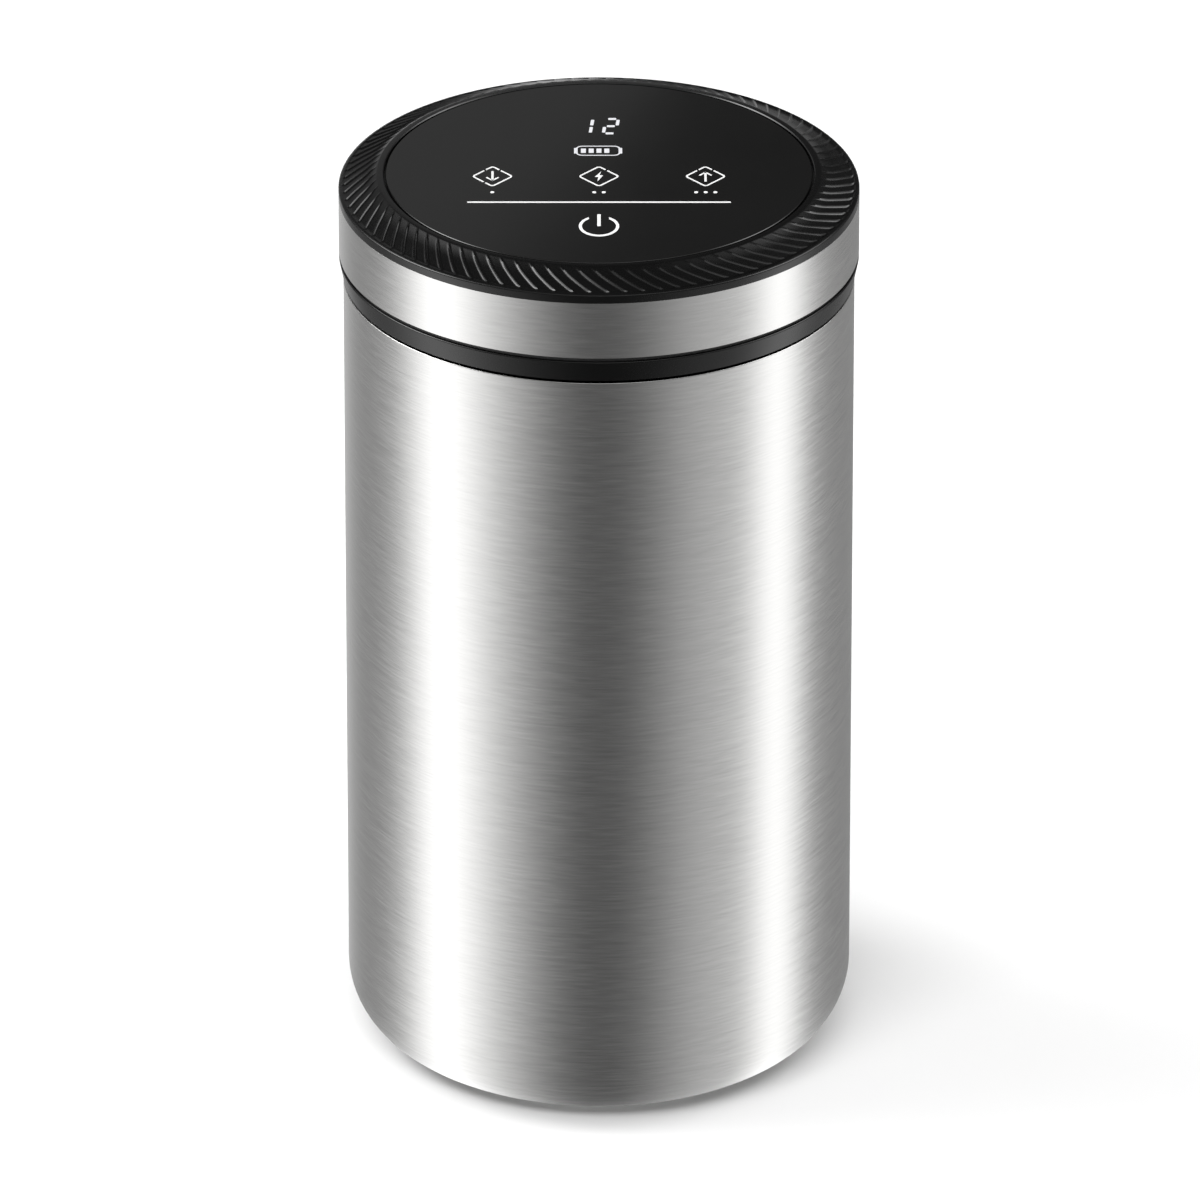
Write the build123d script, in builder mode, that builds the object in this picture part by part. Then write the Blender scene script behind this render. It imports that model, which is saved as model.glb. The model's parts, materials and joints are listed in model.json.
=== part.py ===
from build123d import *
import math
import os

# Vacuum seal canister: a deep drawn steel can with a collar round its mouth, and a lift-off lid that
# holds a rechargeable vacuum pump. Millimetres, +Z up, origin at the centre of the base, and the
# readable side of the touch panel faces -Y.

# Outside sizes of the whole canister
lid_radius = 60.0
overall_height = 219.0
ring_height = 5.2
band_height = 13.8
parting_gap = 1.0
collar_height = 5.1
collar_flare = 1.0
ring_width = 10.7

# General clearances and wall sizes
loose_fit = 0.2
close_fit = 0.1
running_fit = 0.05
free_gap = 0.3
plastic_wall = 2.0
cut_overrun = 1.0
edge_break = 0.3

# Steel can
shell_wall = 0.7
body_corner_radius = 17.0
neck_step = 2.0
shoulder_bevel = 0.7
foot_ring_width = 6.0
base_recess_depth = 2.0
base_recess_slope = 3.0

# Mouth collar
collar_cap_thickness = 1.4
collar_edge_bevel = 0.5

# Lid band and ribbed top ring
band_wall = 0.6
band_edge_break = 0.15
ring_wall_height = 2.1
ring_corner_bevel = 0.45
panel_thickness = 1.8
panel_edge_break = 0.35
lip_width = 2.0
rib_margin = 0.6
rib_border = 1.7
rib_height = 0.7
rib_width = 0.5
rib_count = 90
rib_sweep_angle = 6.3

# Lid housing
deck_thickness = 1.6
panel_seat_width = 3.0
middle_step_inset = 3.6
middle_step_height = 1.8
post_radius = 4.6
post_well_radius = 3.2
post_length = 13.6
post_floor = 3.0
key_spacing = 24.5
key_row_y = -2.3
power_key_y = -29.2
key_hole_radius = 4.0
window_width = 27.0
window_length = 23.0
window_y = 19.7
board_boss_radius = 3.2
board_boss_offset = 37.0
board_boss_angle = 30.0

# Charging socket and the pocket that takes its plug
pocket_width = 12.6
pocket_height = 6.6
pocket_depth = 4.6
pocket_floor_thickness = 1.4
pocket_rim = 2.0
socket_width = 8.94
socket_height = 3.2
socket_length = 7.4
socket_wall = 0.3
tongue_width = 6.4
tongue_thickness = 0.7

# Lid base, the plug that enters the can's mouth
plug_clearance = 2.8
plug_depth = 18.0
plug_bevel = 1.0
spigot_height = 1.4
groove_depth = 1.0
groove_height = 5.0
groove_rise = 5.0
pillar_radius = 4.0
pillar_margin = 0.972

# Gasket
gasket_body = 1.8
gasket_lip_height = 0.7
gasket_lip_rise = 1.2
gasket_lip_pitch = 2.2

# Intake filter under the lid
port_x = 35.0
port_y = -1.0
port_radius = 2.0
filter_socket_radius = 8.0
filter_socket_wall = 1.2
filter_socket_height = 3.5
filter_thickness = 2.8
cap_wall = 1.6
cap_floor = 1.2
cap_hole_radius = 1.1
cap_hole_ring_share = 0.62
cap_hole_count = 8
lug_reach = 0.8
lug_height = 0.8
lug_width = 3.0
cap_turn_angle = 50.0
finger_bar_width = 2.4
finger_bar_height = 1.6

# Control board and what sits on it
board_radius = 41.4
board_thickness = 1.6
board_tongue_width = 16.0
board_tongue_gap = 2.4
board_drop = 5.5
display_clearance = 0.3
screw_hole_radius = 1.1
spring_wire = 0.6
spring_radius = 2.6
spring_foot_radius = 3.0
spring_foot_thickness = 0.5
spring_pitch = 1.8
wire_sides = 5
sensor_size = 6.0
sensor_height = 3.5
nipple_radius = 1.4
nipple_bore = 0.7
nipple_length = 4.0

# Battery
cell_radius = 9.2
cell_length = 65.0
cell_x = -7.0
cell_y = -16.0
cell_floor = 1.0
cell_button_radius = 2.8
cell_button_height = 0.8
cradle_wall = 1.4

# Pump motor
pump_y = 14.0
pump_rise = 12.6
motor_radius = 10.0
motor_length = 26.0
motor_front_x = -4.0
motor_cap_length = 2.0
shaft_radius = 1.0
shaft_depth = 10.0
shaft_reach = 12.0
sleeve_wall = 1.3
sleeve_length = 18.0
sleeve_centre_x = -17.0
saddle_length = 14.0
saddle_wall = 2.0
strap_thickness = 0.8
strap_width = 8.0
strap_ear = 5.0

# Pump head
crank_length = 16.0
crank_width = 22.0
crank_drop = 11.0
crank_rise = 5.4
crank_cavity_radius = 7.2
crank_wall = 2.0
crank_mouth_radius = 6.0
throw = 0.7
eccentric_radius = 2.5
rod_length = 4.0
rod_ring_wall = 1.4
rod_plate_radius = 4.0
rod_plate_thickness = 1.2
rod_stud_radius = 1.1
rod_washer_radius = 3.0
rod_washer_thickness = 0.3
rod_web = 2.4
diaphragm_thickness = 0.8
diaphragm_hole_radius = 1.2
valve_plate_thickness = 2.2
valve_recess_radius = 6.0
valve_recess_depth = 1.3
valve_hole_radius = 1.0
valve_hole_spacing = 8.4
cover_thickness = 3.6
cover_cavity_width = 8.0
cover_cavity_depth = 1.8
pump_screw_inset = 2.6

# Manifold, hoses and the release valve
hose_wall = 0.8
manifold_width = 11.0
manifold_y_low = -15.5
manifold_y_high = 12.5
manifold_height = 8.0
manifold_wall = 2.0
seal_thickness = 0.6
suction_y = 9.0
sensor_y = -12.0
suction_bend = 10.0
release_y = -2.0
seat_radius = 1.8
seat_bore = 0.8
seat_height = 0.6
pad_radius = 2.6
pad_thickness = 1.2
plunger_radius = 1.8
plunger_flange_radius = 2.9
plunger_flange_thickness = 0.6
plunger_length = 9.4
release_spring_length = 3.4
release_spring_wire = 0.4
release_spring_pitch = 1.0
release_spring_radius = 2.35
yoke_thickness = 0.8
yoke_width = 9.0
coil_radius = 4.4
coil_length = 7.2

# Screws, all with round heads
lid_screw_radius = 1.4
lid_screw_head_radius = 2.8
lid_screw_head = 2.0
lid_screw_length = 15.0
small_screw_radius = 0.9
small_screw_head_radius = 1.8
small_screw_head = 1.3
small_screw_length = 4.5

# Heights that follow from the sizes above
ring_bottom = overall_height - ring_height
band_bottom = ring_bottom - band_height
collar_top = band_bottom - parting_gap
collar_bottom = collar_top - collar_height
rim_top = collar_top - collar_cap_thickness
deck_top = overall_height - panel_thickness
deck_bottom = deck_top - deck_thickness
middle_step_top = ring_bottom + middle_step_height
plug_bottom = collar_top - plug_depth
floor_top = plug_bottom + plastic_wall
post_bottom = deck_bottom - post_length
board_top = deck_bottom - board_drop
board_bottom = board_top - board_thickness
pump_z = floor_top + pump_rise
pocket_z = band_bottom + band_height / 2

# Widths that follow from the lid's radius
body_radius = lid_radius - collar_flare
neck_radius = body_radius - neck_step
mouth_radius = neck_radius - shell_wall
band_inner_radius = lid_radius - band_wall
housing_radius = band_inner_radius - close_fit
housing_inner_radius = housing_radius - plastic_wall
middle_step_radius = lid_radius - middle_step_inset
panel_radius = lid_radius - ring_width
deck_radius = panel_radius + panel_seat_width
lip_radius = panel_radius + free_gap + lip_width
rib_inner_radius = lip_radius + rib_margin
rib_outer_radius = lid_radius - rib_border
slope_drop = ring_height - ring_wall_height
slope_run = lid_radius - ring_corner_bevel - lip_radius
plug_radius = mouth_radius - plug_clearance
pillar_circle_radius = plug_radius - plastic_wall - pillar_margin - pillar_radius
post_offset = pillar_circle_radius * math.cos(math.radians(45))
pocket_floor_y = lid_radius - pocket_depth
board_tongue_reach = pocket_floor_y - board_tongue_gap

os.makedirs("parts", exist_ok=True)


def half_section(points):
    """A closed drawing in the plane of the axis, from pairs of radius and height."""
    with BuildSketch(Plane.XZ) as drawing:
        with BuildLine():
            Polyline(*points, close=True)
        make_face()
    return drawing.sketch


def keep(piece, name):
    """Label a finished piece and write it under its name."""
    piece.part.label = name
    export_step(piece.part, f"parts/{name}.step")


def slope_height(radius):
    """Height of the ring's sloping top face at a radius."""
    return overall_height - (radius - lip_radius) * slope_drop / slope_run


# Steel can: one drawn sheet with a raised base, a rounded lower corner and a necked mouth
def can_outline(inset):
    """Half outline of the can's outer face, moved inwards by the sheet's thickness."""
    foot_outer = body_radius - body_corner_radius
    foot_inner = foot_outer - foot_ring_width
    shoulder = collar_bottom - shoulder_bevel
    bend = body_corner_radius - inset
    low = (foot_outer, inset)
    high = (body_radius - inset, body_corner_radius)
    turn = bend * math.cos(math.radians(45))
    middle = (foot_outer + turn, body_corner_radius - turn)
    top = rim_top + (cut_overrun if inset else 0)
    with BuildSketch(Plane.XZ) as drawing:
        with BuildLine():
            Polyline((0, base_recess_depth + inset), (foot_inner - base_recess_slope, base_recess_depth + inset),
                     (foot_inner, inset), low)
            ThreePointArc(low, middle, high)
            Polyline(high, (body_radius - inset, shoulder), (neck_radius - inset, collar_bottom),
                     (neck_radius - inset, top), (0, top), (0, base_recess_depth + inset))
        make_face()
    return drawing.sketch


with BuildPart() as container_body:
    revolve(can_outline(0), axis=Axis.Z)
    revolve(can_outline(shell_wall), axis=Axis.Z, mode=Mode.SUBTRACT)
keep(container_body, "container_body")

# Mouth collar: caps the rim of the can and widens towards the lid
with BuildPart() as mouth_collar:
    revolve(half_section([
        (neck_radius + close_fit, collar_bottom),
        (body_radius, collar_bottom),
        (lid_radius, collar_top - collar_edge_bevel),
        (lid_radius - collar_edge_bevel, collar_top),
        (mouth_radius, collar_top),
        (mouth_radius, rim_top),
        (neck_radius + close_fit, rim_top),
    ]), axis=Axis.Z)
keep(mouth_collar, "mouth_collar")

# Lid band: a steel hoop with a window for the charging plug at the back
with BuildPart() as lid_band:
    revolve(half_section([
        (band_inner_radius, band_bottom),
        (lid_radius - band_edge_break, band_bottom),
        (lid_radius, band_bottom + band_edge_break),
        (lid_radius, ring_bottom - band_edge_break),
        (lid_radius - band_edge_break, ring_bottom),
        (band_inner_radius, ring_bottom),
    ]), axis=Axis.Z)
    with BuildSketch(Plane.XZ):
        with Locations((0, pocket_z)):
            SlotOverall(pocket_width, pocket_height)
    extrude(amount=-lid_radius - cut_overrun, mode=Mode.SUBTRACT)
keep(lid_band, "lid_band")

# Ribbed ring: valleys cut at a slant into a sloping ring leave a swirl of thin ribs
rib_pitch_angle = 360 / rib_count
inner_land_angle = math.degrees(rib_width / rib_inner_radius)
outer_land_angle = math.degrees(rib_width / rib_outer_radius)


def on_circle(radius, angle):
    """A point on a circle about the axis, by its angle in degrees."""
    return (radius * math.cos(math.radians(angle)), radius * math.sin(math.radians(angle)))


def swirled(radius, angle):
    """A point on a rib's line: it gains angle steadily from the inner end of the rib to the outer."""
    along = (radius - rib_inner_radius) / (rib_outer_radius - rib_inner_radius)
    return on_circle(radius, angle + rib_sweep_angle * along)


with BuildPart() as valleys:
    revolve(half_section([
        (rib_inner_radius, slope_height(rib_inner_radius) - rib_height),
        (rib_outer_radius, slope_height(rib_outer_radius) - rib_height),
        (rib_outer_radius, overall_height + cut_overrun),
        (rib_inner_radius, overall_height + cut_overrun),
    ]), axis=Axis.Z)
    with BuildSketch(Plane.XY.offset(ring_bottom)):
        with PolarLocations(0, rib_count):
            Polygon(
                swirled(rib_inner_radius - edge_break, inner_land_angle),
                swirled(rib_outer_radius + edge_break, outer_land_angle),
                swirled(rib_outer_radius + edge_break, rib_pitch_angle),
                swirled(rib_inner_radius - edge_break, rib_pitch_angle),
                align=None,
            )
    extrude(amount=ring_height + cut_overrun, mode=Mode.INTERSECT)

with BuildPart() as ribbed_ring:
    revolve(half_section([
        (middle_step_radius + loose_fit, ring_bottom),
        (lid_radius, ring_bottom),
        (lid_radius, ring_bottom + ring_wall_height - ring_corner_bevel),
        (lid_radius - ring_corner_bevel, ring_bottom + ring_wall_height),
        (lip_radius, overall_height),
        (panel_radius + free_gap + edge_break, overall_height),
        (panel_radius + free_gap, overall_height - edge_break),
        (panel_radius + free_gap, deck_top),
        (deck_radius + loose_fit, deck_top),
        (deck_radius + loose_fit, middle_step_top),
        (middle_step_radius + loose_fit, middle_step_top),
    ]), axis=Axis.Z)
    add(valleys.part, mode=Mode.SUBTRACT)
keep(ribbed_ring, "ribbed_ring")

# Touch panel: a black glass disc with a broken edge
with BuildPart() as touch_panel:
    revolve(half_section([
        (0, deck_top),
        (panel_radius, deck_top),
        (panel_radius, overall_height - panel_edge_break),
        (panel_radius - panel_edge_break, overall_height),
        (0, overall_height),
    ]), axis=Axis.Z)
keep(touch_panel, "touch_panel")

# Lid housing: a stepped cup, open below, with key and display windows in its deck
board_screw_angles = [board_boss_angle, 180 - board_boss_angle, 180 + board_boss_angle, -board_boss_angle]
board_screw_places = [on_circle(board_boss_offset, angle) for angle in board_screw_angles]
key_places = [(-key_spacing, key_row_y), (0, key_row_y), (key_spacing, key_row_y), (0, power_key_y)]
post_spacing = 2 * post_offset
pocket_back_y = pocket_floor_y - pocket_floor_thickness

with BuildPart() as lid_housing:
    revolve(half_section([
        (0, deck_top),
        (deck_radius, deck_top),
        (deck_radius, middle_step_top),
        (middle_step_radius, middle_step_top),
        (middle_step_radius, ring_bottom),
        (housing_radius, ring_bottom),
        (housing_radius, band_bottom),
        (housing_inner_radius, band_bottom),
        (housing_inner_radius, ring_bottom - plastic_wall),
        (middle_step_radius - plastic_wall, ring_bottom - plastic_wall),
        (middle_step_radius - plastic_wall, middle_step_top - plastic_wall),
        (deck_radius - plastic_wall, middle_step_top - plastic_wall),
        (deck_radius - plastic_wall, deck_bottom),
        (0, deck_bottom),
    ]), axis=Axis.Z)
    with BuildSketch(Plane.XY.offset(post_bottom)):
        with GridLocations(post_spacing, post_spacing, 2, 2):
            Circle(post_radius)
    extrude(amount=post_length)
    with BuildSketch(Plane.XY.offset(board_top)):
        with Locations(*board_screw_places):
            Circle(board_boss_radius)
    extrude(amount=board_drop)
    # block round the plug pocket, joined to the wall behind it
    with BuildSketch(Plane.XZ.offset(-pocket_back_y)):
        with Locations((0, pocket_z)):
            Rectangle(pocket_width + 2 * pocket_rim, pocket_height + 2 * pocket_rim)
    extrude(amount=pocket_back_y - housing_radius)
    with BuildSketch(Plane.XY.offset(band_bottom)):
        Circle(lid_radius + plastic_wall)
        Circle(housing_radius, mode=Mode.SUBTRACT)
    extrude(amount=band_height, mode=Mode.SUBTRACT)
    with BuildSketch(Plane.XZ.offset(-pocket_floor_y)):
        with Locations((0, pocket_z)):
            SlotOverall(pocket_width, pocket_height)
    extrude(amount=-lid_radius, mode=Mode.SUBTRACT)
    with BuildSketch(Plane.XZ.offset(-pocket_back_y)):
        with Locations((0, pocket_z)):
            SlotOverall(socket_width + 2 * close_fit, socket_height + 2 * close_fit)
    extrude(amount=-pocket_floor_thickness, mode=Mode.SUBTRACT)
    # wells and holes for the lid screws
    with BuildSketch(Plane.XY.offset(post_bottom + post_floor)):
        with GridLocations(post_spacing, post_spacing, 2, 2):
            Circle(post_well_radius)
    extrude(amount=post_length + deck_thickness, mode=Mode.SUBTRACT)
    with BuildSketch(Plane.XY.offset(post_bottom)):
        with GridLocations(post_spacing, post_spacing, 2, 2):
            Circle(lid_screw_radius + close_fit)
    extrude(amount=post_floor, mode=Mode.SUBTRACT)
    # blind holes for the board screws
    with BuildSketch(Plane.XY.offset(board_top)):
        with Locations(*board_screw_places):
            Circle(small_screw_radius + running_fit)
    extrude(amount=board_drop, mode=Mode.SUBTRACT)
    # windows through the deck
    with BuildSketch(Plane.XY.offset(deck_bottom)):
        with Locations(*key_places):
            Circle(key_hole_radius)
        with Locations((0, window_y)):
            RectangleRounded(window_width, window_length, plastic_wall)
    extrude(amount=deck_thickness, mode=Mode.SUBTRACT)
keep(lid_housing, "lid_housing")

# Lid base: flange, sealing plug, pump trough, pillars and the socket of the intake filter
sleeve_radius = motor_radius + close_fit + sleeve_wall
trough_radius = sleeve_radius + close_fit
saddle_half_width = trough_radius + saddle_wall
groove_bottom = plug_bottom + groove_rise
socket_bottom = plug_bottom - filter_socket_height
socket_outer_radius = filter_socket_radius + filter_socket_wall
lug_z = plug_bottom - filter_socket_height / 2

with BuildPart() as lid_base:
    revolve(half_section([
        (0, plug_bottom),
        (plug_radius - plug_bevel, plug_bottom),
        (plug_radius, plug_bottom + plug_bevel),
        (plug_radius, groove_bottom),
        (plug_radius - groove_depth, groove_bottom),
        (plug_radius - groove_depth, groove_bottom + groove_height),
        (plug_radius, groove_bottom + groove_height),
        (plug_radius, collar_top),
        (housing_radius, collar_top),
        (housing_radius, band_bottom),
        (housing_inner_radius - loose_fit, band_bottom),
        (housing_inner_radius - loose_fit, band_bottom + spigot_height),
        (plug_radius - plastic_wall, band_bottom + spigot_height),
        (plug_radius - plastic_wall, floor_top),
        (0, floor_top),
    ]), axis=Axis.Z)
    with BuildSketch(Plane.XY.offset(floor_top)):
        with GridLocations(post_spacing, post_spacing, 2, 2):
            Circle(pillar_radius)
    extrude(amount=post_bottom - floor_top)
    with BuildSketch(Plane.XY.offset(floor_top)):
        with GridLocations(post_spacing, post_spacing, 2, 2):
            Circle(lid_screw_radius + running_fit)
    extrude(amount=post_bottom - floor_top, mode=Mode.SUBTRACT)
    # trough under the motor, with an ear on each side for the strap's screws
    with BuildSketch(Plane.XY.offset(floor_top)):
        with Locations((sleeve_centre_x, pump_y)):
            Rectangle(saddle_length, 2 * saddle_half_width)
            Rectangle(strap_width, 2 * (saddle_half_width + strap_ear))
    extrude(amount=pump_rise - strap_thickness)
    with BuildSketch(Plane.YZ.offset(sleeve_centre_x - saddle_length / 2)):
        with Locations((pump_y, pump_z)):
            Circle(trough_radius)
    extrude(amount=saddle_length, mode=Mode.SUBTRACT)
    with BuildSketch(Plane.XY.offset(floor_top)):
        with Locations((sleeve_centre_x, pump_y)):
            with GridLocations(0, 2 * saddle_half_width + strap_ear, 1, 2):
                Circle(small_screw_radius + running_fit)
    extrude(amount=pump_rise, mode=Mode.SUBTRACT)
    # socket of the filter, with two lugs, and the intake port through the floor
    with BuildSketch(Plane.XY.offset(socket_bottom)):
        with Locations((port_x, port_y)):
            Circle(socket_outer_radius)
            Circle(filter_socket_radius, mode=Mode.SUBTRACT)
    extrude(amount=filter_socket_height)
    with BuildSketch(Plane.XY.offset(lug_z - lug_height / 2)):
        with Locations((port_x, port_y)):
            with PolarLocations(0, 2):
                with Locations((socket_outer_radius, 0)):
                    Rectangle(2 * lug_reach, lug_width)
    extrude(amount=lug_height)
    with BuildSketch(Plane.XY.offset(socket_bottom)):
        with Locations((port_x, port_y)):
            Circle(filter_socket_radius)
    extrude(amount=filter_socket_height, mode=Mode.SUBTRACT)
    with BuildSketch(Plane.XY.offset(plug_bottom)):
        with Locations((port_x, port_y)):
            Circle(port_radius)
    extrude(amount=plastic_wall, mode=Mode.SUBTRACT)
keep(lid_base, "lid_base")

# Gasket: a silicone band in the plug's groove with two lips that reach for the mouth
gasket_inner_radius = plug_radius - groove_depth + close_fit
gasket_outer_radius = gasket_inner_radius + gasket_body
lip_tip_radius = mouth_radius - free_gap
first_lip = groove_bottom + close_fit + gasket_lip_height
second_lip = first_lip + gasket_lip_pitch

with BuildPart() as lid_gasket:
    revolve(half_section([
        (gasket_inner_radius, groove_bottom + close_fit),
        (gasket_outer_radius, groove_bottom + close_fit),
        (gasket_outer_radius, first_lip),
        (lip_tip_radius, first_lip + gasket_lip_rise),
        (lip_tip_radius, first_lip + gasket_lip_rise + gasket_lip_height / 2),
        (gasket_outer_radius, first_lip + gasket_lip_height),
        (gasket_outer_radius, second_lip),
        (lip_tip_radius, second_lip + gasket_lip_rise),
        (lip_tip_radius, second_lip + gasket_lip_rise + gasket_lip_height / 2),
        (gasket_outer_radius, second_lip + gasket_lip_height),
        (gasket_outer_radius, groove_bottom + groove_height - close_fit),
        (gasket_inner_radius, groove_bottom + groove_height - close_fit),
    ]), axis=Axis.Z)
keep(lid_gasket, "lid_gasket")

# Foam disc that keeps liquid and crumbs out of the pump
with BuildPart() as filter_disc:
    with BuildSketch(Plane.XY.offset(plug_bottom - filter_thickness)):
        with Locations((port_x, port_y)):
            Circle(filter_socket_radius - free_gap)
    extrude(amount=filter_thickness)
keep(filter_disc, "filter_disc")

# Filter cap: a vented cup that turns on the socket's lugs and comes off for cleaning
cap_inner_radius = socket_outer_radius + free_gap
cap_outer_radius = cap_inner_radius + cap_wall
cap_floor_top = socket_bottom - free_gap
cap_bottom = cap_floor_top - cap_floor
cap_top = plug_bottom - free_gap
slot_radius = socket_outer_radius + lug_reach + free_gap
slot_height = lug_height + 2 * free_gap

with BuildPart() as filter_cap:
    with BuildSketch(Plane.XY.offset(cap_bottom)):
        with Locations((port_x, port_y)):
            Circle(cap_outer_radius)
    extrude(amount=cap_top - cap_bottom)
    fillet(filter_cap.faces().sort_by(Axis.Z)[0].edges(), cap_floor / 2)
    with BuildSketch(Plane.XY.offset(cap_floor_top)):
        with Locations((port_x, port_y)):
            Circle(cap_inner_radius)
    extrude(amount=cap_top - cap_floor_top, mode=Mode.SUBTRACT)
    # the lugs' channel, and two notches that let the lugs in
    with BuildSketch(Plane.XY.offset(lug_z - slot_height / 2)):
        with Locations((port_x, port_y)):
            Circle(slot_radius)
    extrude(amount=slot_height, mode=Mode.SUBTRACT)
    with BuildSketch(Plane.XY.offset(lug_z)):
        with Locations((port_x, port_y)):
            with PolarLocations(0, 2, start_angle=-cap_turn_angle):
                with Locations((socket_outer_radius, 0)):
                    Rectangle(2 * (slot_radius - socket_outer_radius), lug_width + 2 * free_gap)
    extrude(amount=cap_top - lug_z, mode=Mode.SUBTRACT)
    # vents, all inside the socket's bore
    with BuildSketch(Plane.XY.offset(cap_bottom)):
        with Locations((port_x, port_y)):
            with PolarLocations(filter_socket_radius * cap_hole_ring_share, cap_hole_count):
                Circle(cap_hole_radius)
    extrude(amount=cap_floor, mode=Mode.SUBTRACT)
    # grip bar across the middle of the cap
    with BuildSketch(Plane.XY.offset(cap_bottom - finger_bar_height)):
        with Locations((port_x, port_y)):
            SlotOverall(2 * (filter_socket_radius * cap_hole_ring_share - 2 * cap_hole_radius) + finger_bar_width,
                        finger_bar_width)
    extrude(amount=finger_bar_height)
keep(filter_cap, "filter_cap")

# Control board: a round board with a tongue that carries the charging socket to the wall
with BuildPart() as control_board:
    with BuildSketch(Plane.XY.offset(board_bottom)):
        Circle(board_radius)
        with Locations((0, board_tongue_reach / 2)):
            Rectangle(board_tongue_width, board_tongue_reach)
        with Locations(*board_screw_places):
            Circle(screw_hole_radius, mode=Mode.SUBTRACT)
    extrude(amount=board_thickness)
keep(control_board, "control_board")

# Display block behind its window in the deck
with BuildPart() as display_module:
    with BuildSketch(Plane.XY.offset(board_top)):
        with Locations((0, window_y)):
            RectangleRounded(window_width - 2 * free_gap, window_length - 2 * free_gap, plastic_wall)
    extrude(amount=deck_top - display_clearance - board_top)
    chamfer(display_module.faces().sort_by(Axis.Z)[-1].edges(), edge_break)
keep(display_module, "display_module")

# Touch springs: four small coils on round feet, between the board and the panel
spring_space = deck_top - board_top - spring_foot_thickness
with BuildPart() as touch_springs:
    with BuildSketch(Plane.XY.offset(board_top)):
        with Locations(*key_places):
            Circle(spring_foot_radius)
    extrude(amount=spring_foot_thickness)
    for place in key_places:
        with BuildLine(Plane.XY.offset(board_top + spring_foot_thickness)) as coil_line:
            Helix(spring_pitch, spring_space - spring_wire / 2, spring_radius, center=(*place, 0))
        with BuildSketch(Plane(coil_line.line @ 0, z_dir=coil_line.line % 0)):
            RegularPolygon(spring_wire / 2, wire_sides)
        sweep(path=coil_line.line, is_frenet=True)
keep(touch_springs, "touch_springs")

# Charging socket: a flat steel mouth with a contact tongue inside
socket_back_y = pocket_floor_y - socket_length
socket_plane = Plane.XZ.offset(-socket_back_y)
with BuildPart() as charging_socket:
    with BuildSketch(socket_plane):
        with Locations((0, pocket_z)):
            SlotOverall(socket_width, socket_height)
    extrude(amount=-socket_length)
    with BuildSketch(Plane.XZ.offset(-socket_back_y - socket_length / 4)):
        with Locations((0, pocket_z)):
            SlotOverall(socket_width - 2 * socket_wall, socket_height - 2 * socket_wall)
            Rectangle(tongue_width, tongue_thickness, mode=Mode.SUBTRACT)
    extrude(amount=-socket_length, mode=Mode.SUBTRACT)
keep(charging_socket, "charging_socket")

# Battery cell on its side, in a tray with end walls
cell_z = floor_top + cell_floor + cell_radius + close_fit
with BuildPart() as battery_cell:
    with BuildSketch(Plane.YZ.offset(cell_x - cell_length / 2)):
        with Locations((cell_y, cell_z)):
            Circle(cell_radius)
    extrude(amount=cell_length - cell_button_height)
    chamfer(battery_cell.edges().filter_by(GeomType.CIRCLE), edge_break)
    with BuildSketch(Plane.YZ.offset(cell_x + cell_length / 2 - cell_button_height)):
        with Locations((cell_y, cell_z)):
            Circle(cell_button_radius)
    extrude(amount=cell_button_height)
keep(battery_cell, "battery_cell")

tray_length = cell_length + 2 * (cradle_wall + close_fit)
with BuildPart() as battery_tray:
    with BuildSketch(Plane.XY.offset(floor_top)):
        with Locations((cell_x, cell_y)):
            RectangleRounded(tray_length, 2 * (cell_radius + cradle_wall + close_fit), cradle_wall)
    extrude(amount=cell_floor + cell_radius + close_fit)
    with BuildSketch(Plane.YZ.offset(cell_x - cell_length / 2 - close_fit)):
        with Locations((cell_y, cell_z)):
            Circle(cell_radius + close_fit)
    extrude(amount=cell_length + 2 * close_fit, mode=Mode.SUBTRACT)
keep(battery_tray, "battery_tray")

# Pump motor: a round can with a plastic end cap, held in a soft sleeve
motor_back_x = motor_front_x - motor_length
with BuildPart() as motor_can:
    with BuildSketch(Plane.YZ.offset(motor_back_x)):
        with Locations((pump_y, pump_z)):
            Circle(motor_radius)
    extrude(amount=motor_length)
    fillet(motor_can.edges().filter_by(GeomType.CIRCLE), edge_break)
    with BuildSketch(Plane.YZ.offset(motor_front_x - shaft_depth - running_fit)):
        with Locations((pump_y, pump_z)):
            Circle(shaft_radius + running_fit)
    extrude(amount=shaft_depth + running_fit, mode=Mode.SUBTRACT)
keep(motor_can, "motor_can")

with BuildPart() as motor_end_cap:
    with BuildSketch(Plane.YZ.offset(motor_back_x - motor_cap_length)):
        with Locations((pump_y, pump_z)):
            Circle(motor_radius - edge_break)
    extrude(amount=motor_cap_length)
    # two solder tabs on the back
    with BuildSketch(Plane.YZ.offset(motor_back_x - 2 * motor_cap_length)):
        with Locations((pump_y, pump_z)):
            with GridLocations(motor_radius, 0, 2, 1):
                Rectangle(motor_cap_length, edge_break)
    extrude(amount=motor_cap_length)
keep(motor_end_cap, "motor_end_cap")

with BuildPart() as motor_sleeve:
    with BuildSketch(Plane.YZ.offset(sleeve_centre_x - sleeve_length / 2)):
        with Locations((pump_y, pump_z)):
            Circle(sleeve_radius)
            Circle(motor_radius + close_fit, mode=Mode.SUBTRACT)
    extrude(amount=sleeve_length)
keep(motor_sleeve, "motor_sleeve")

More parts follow.
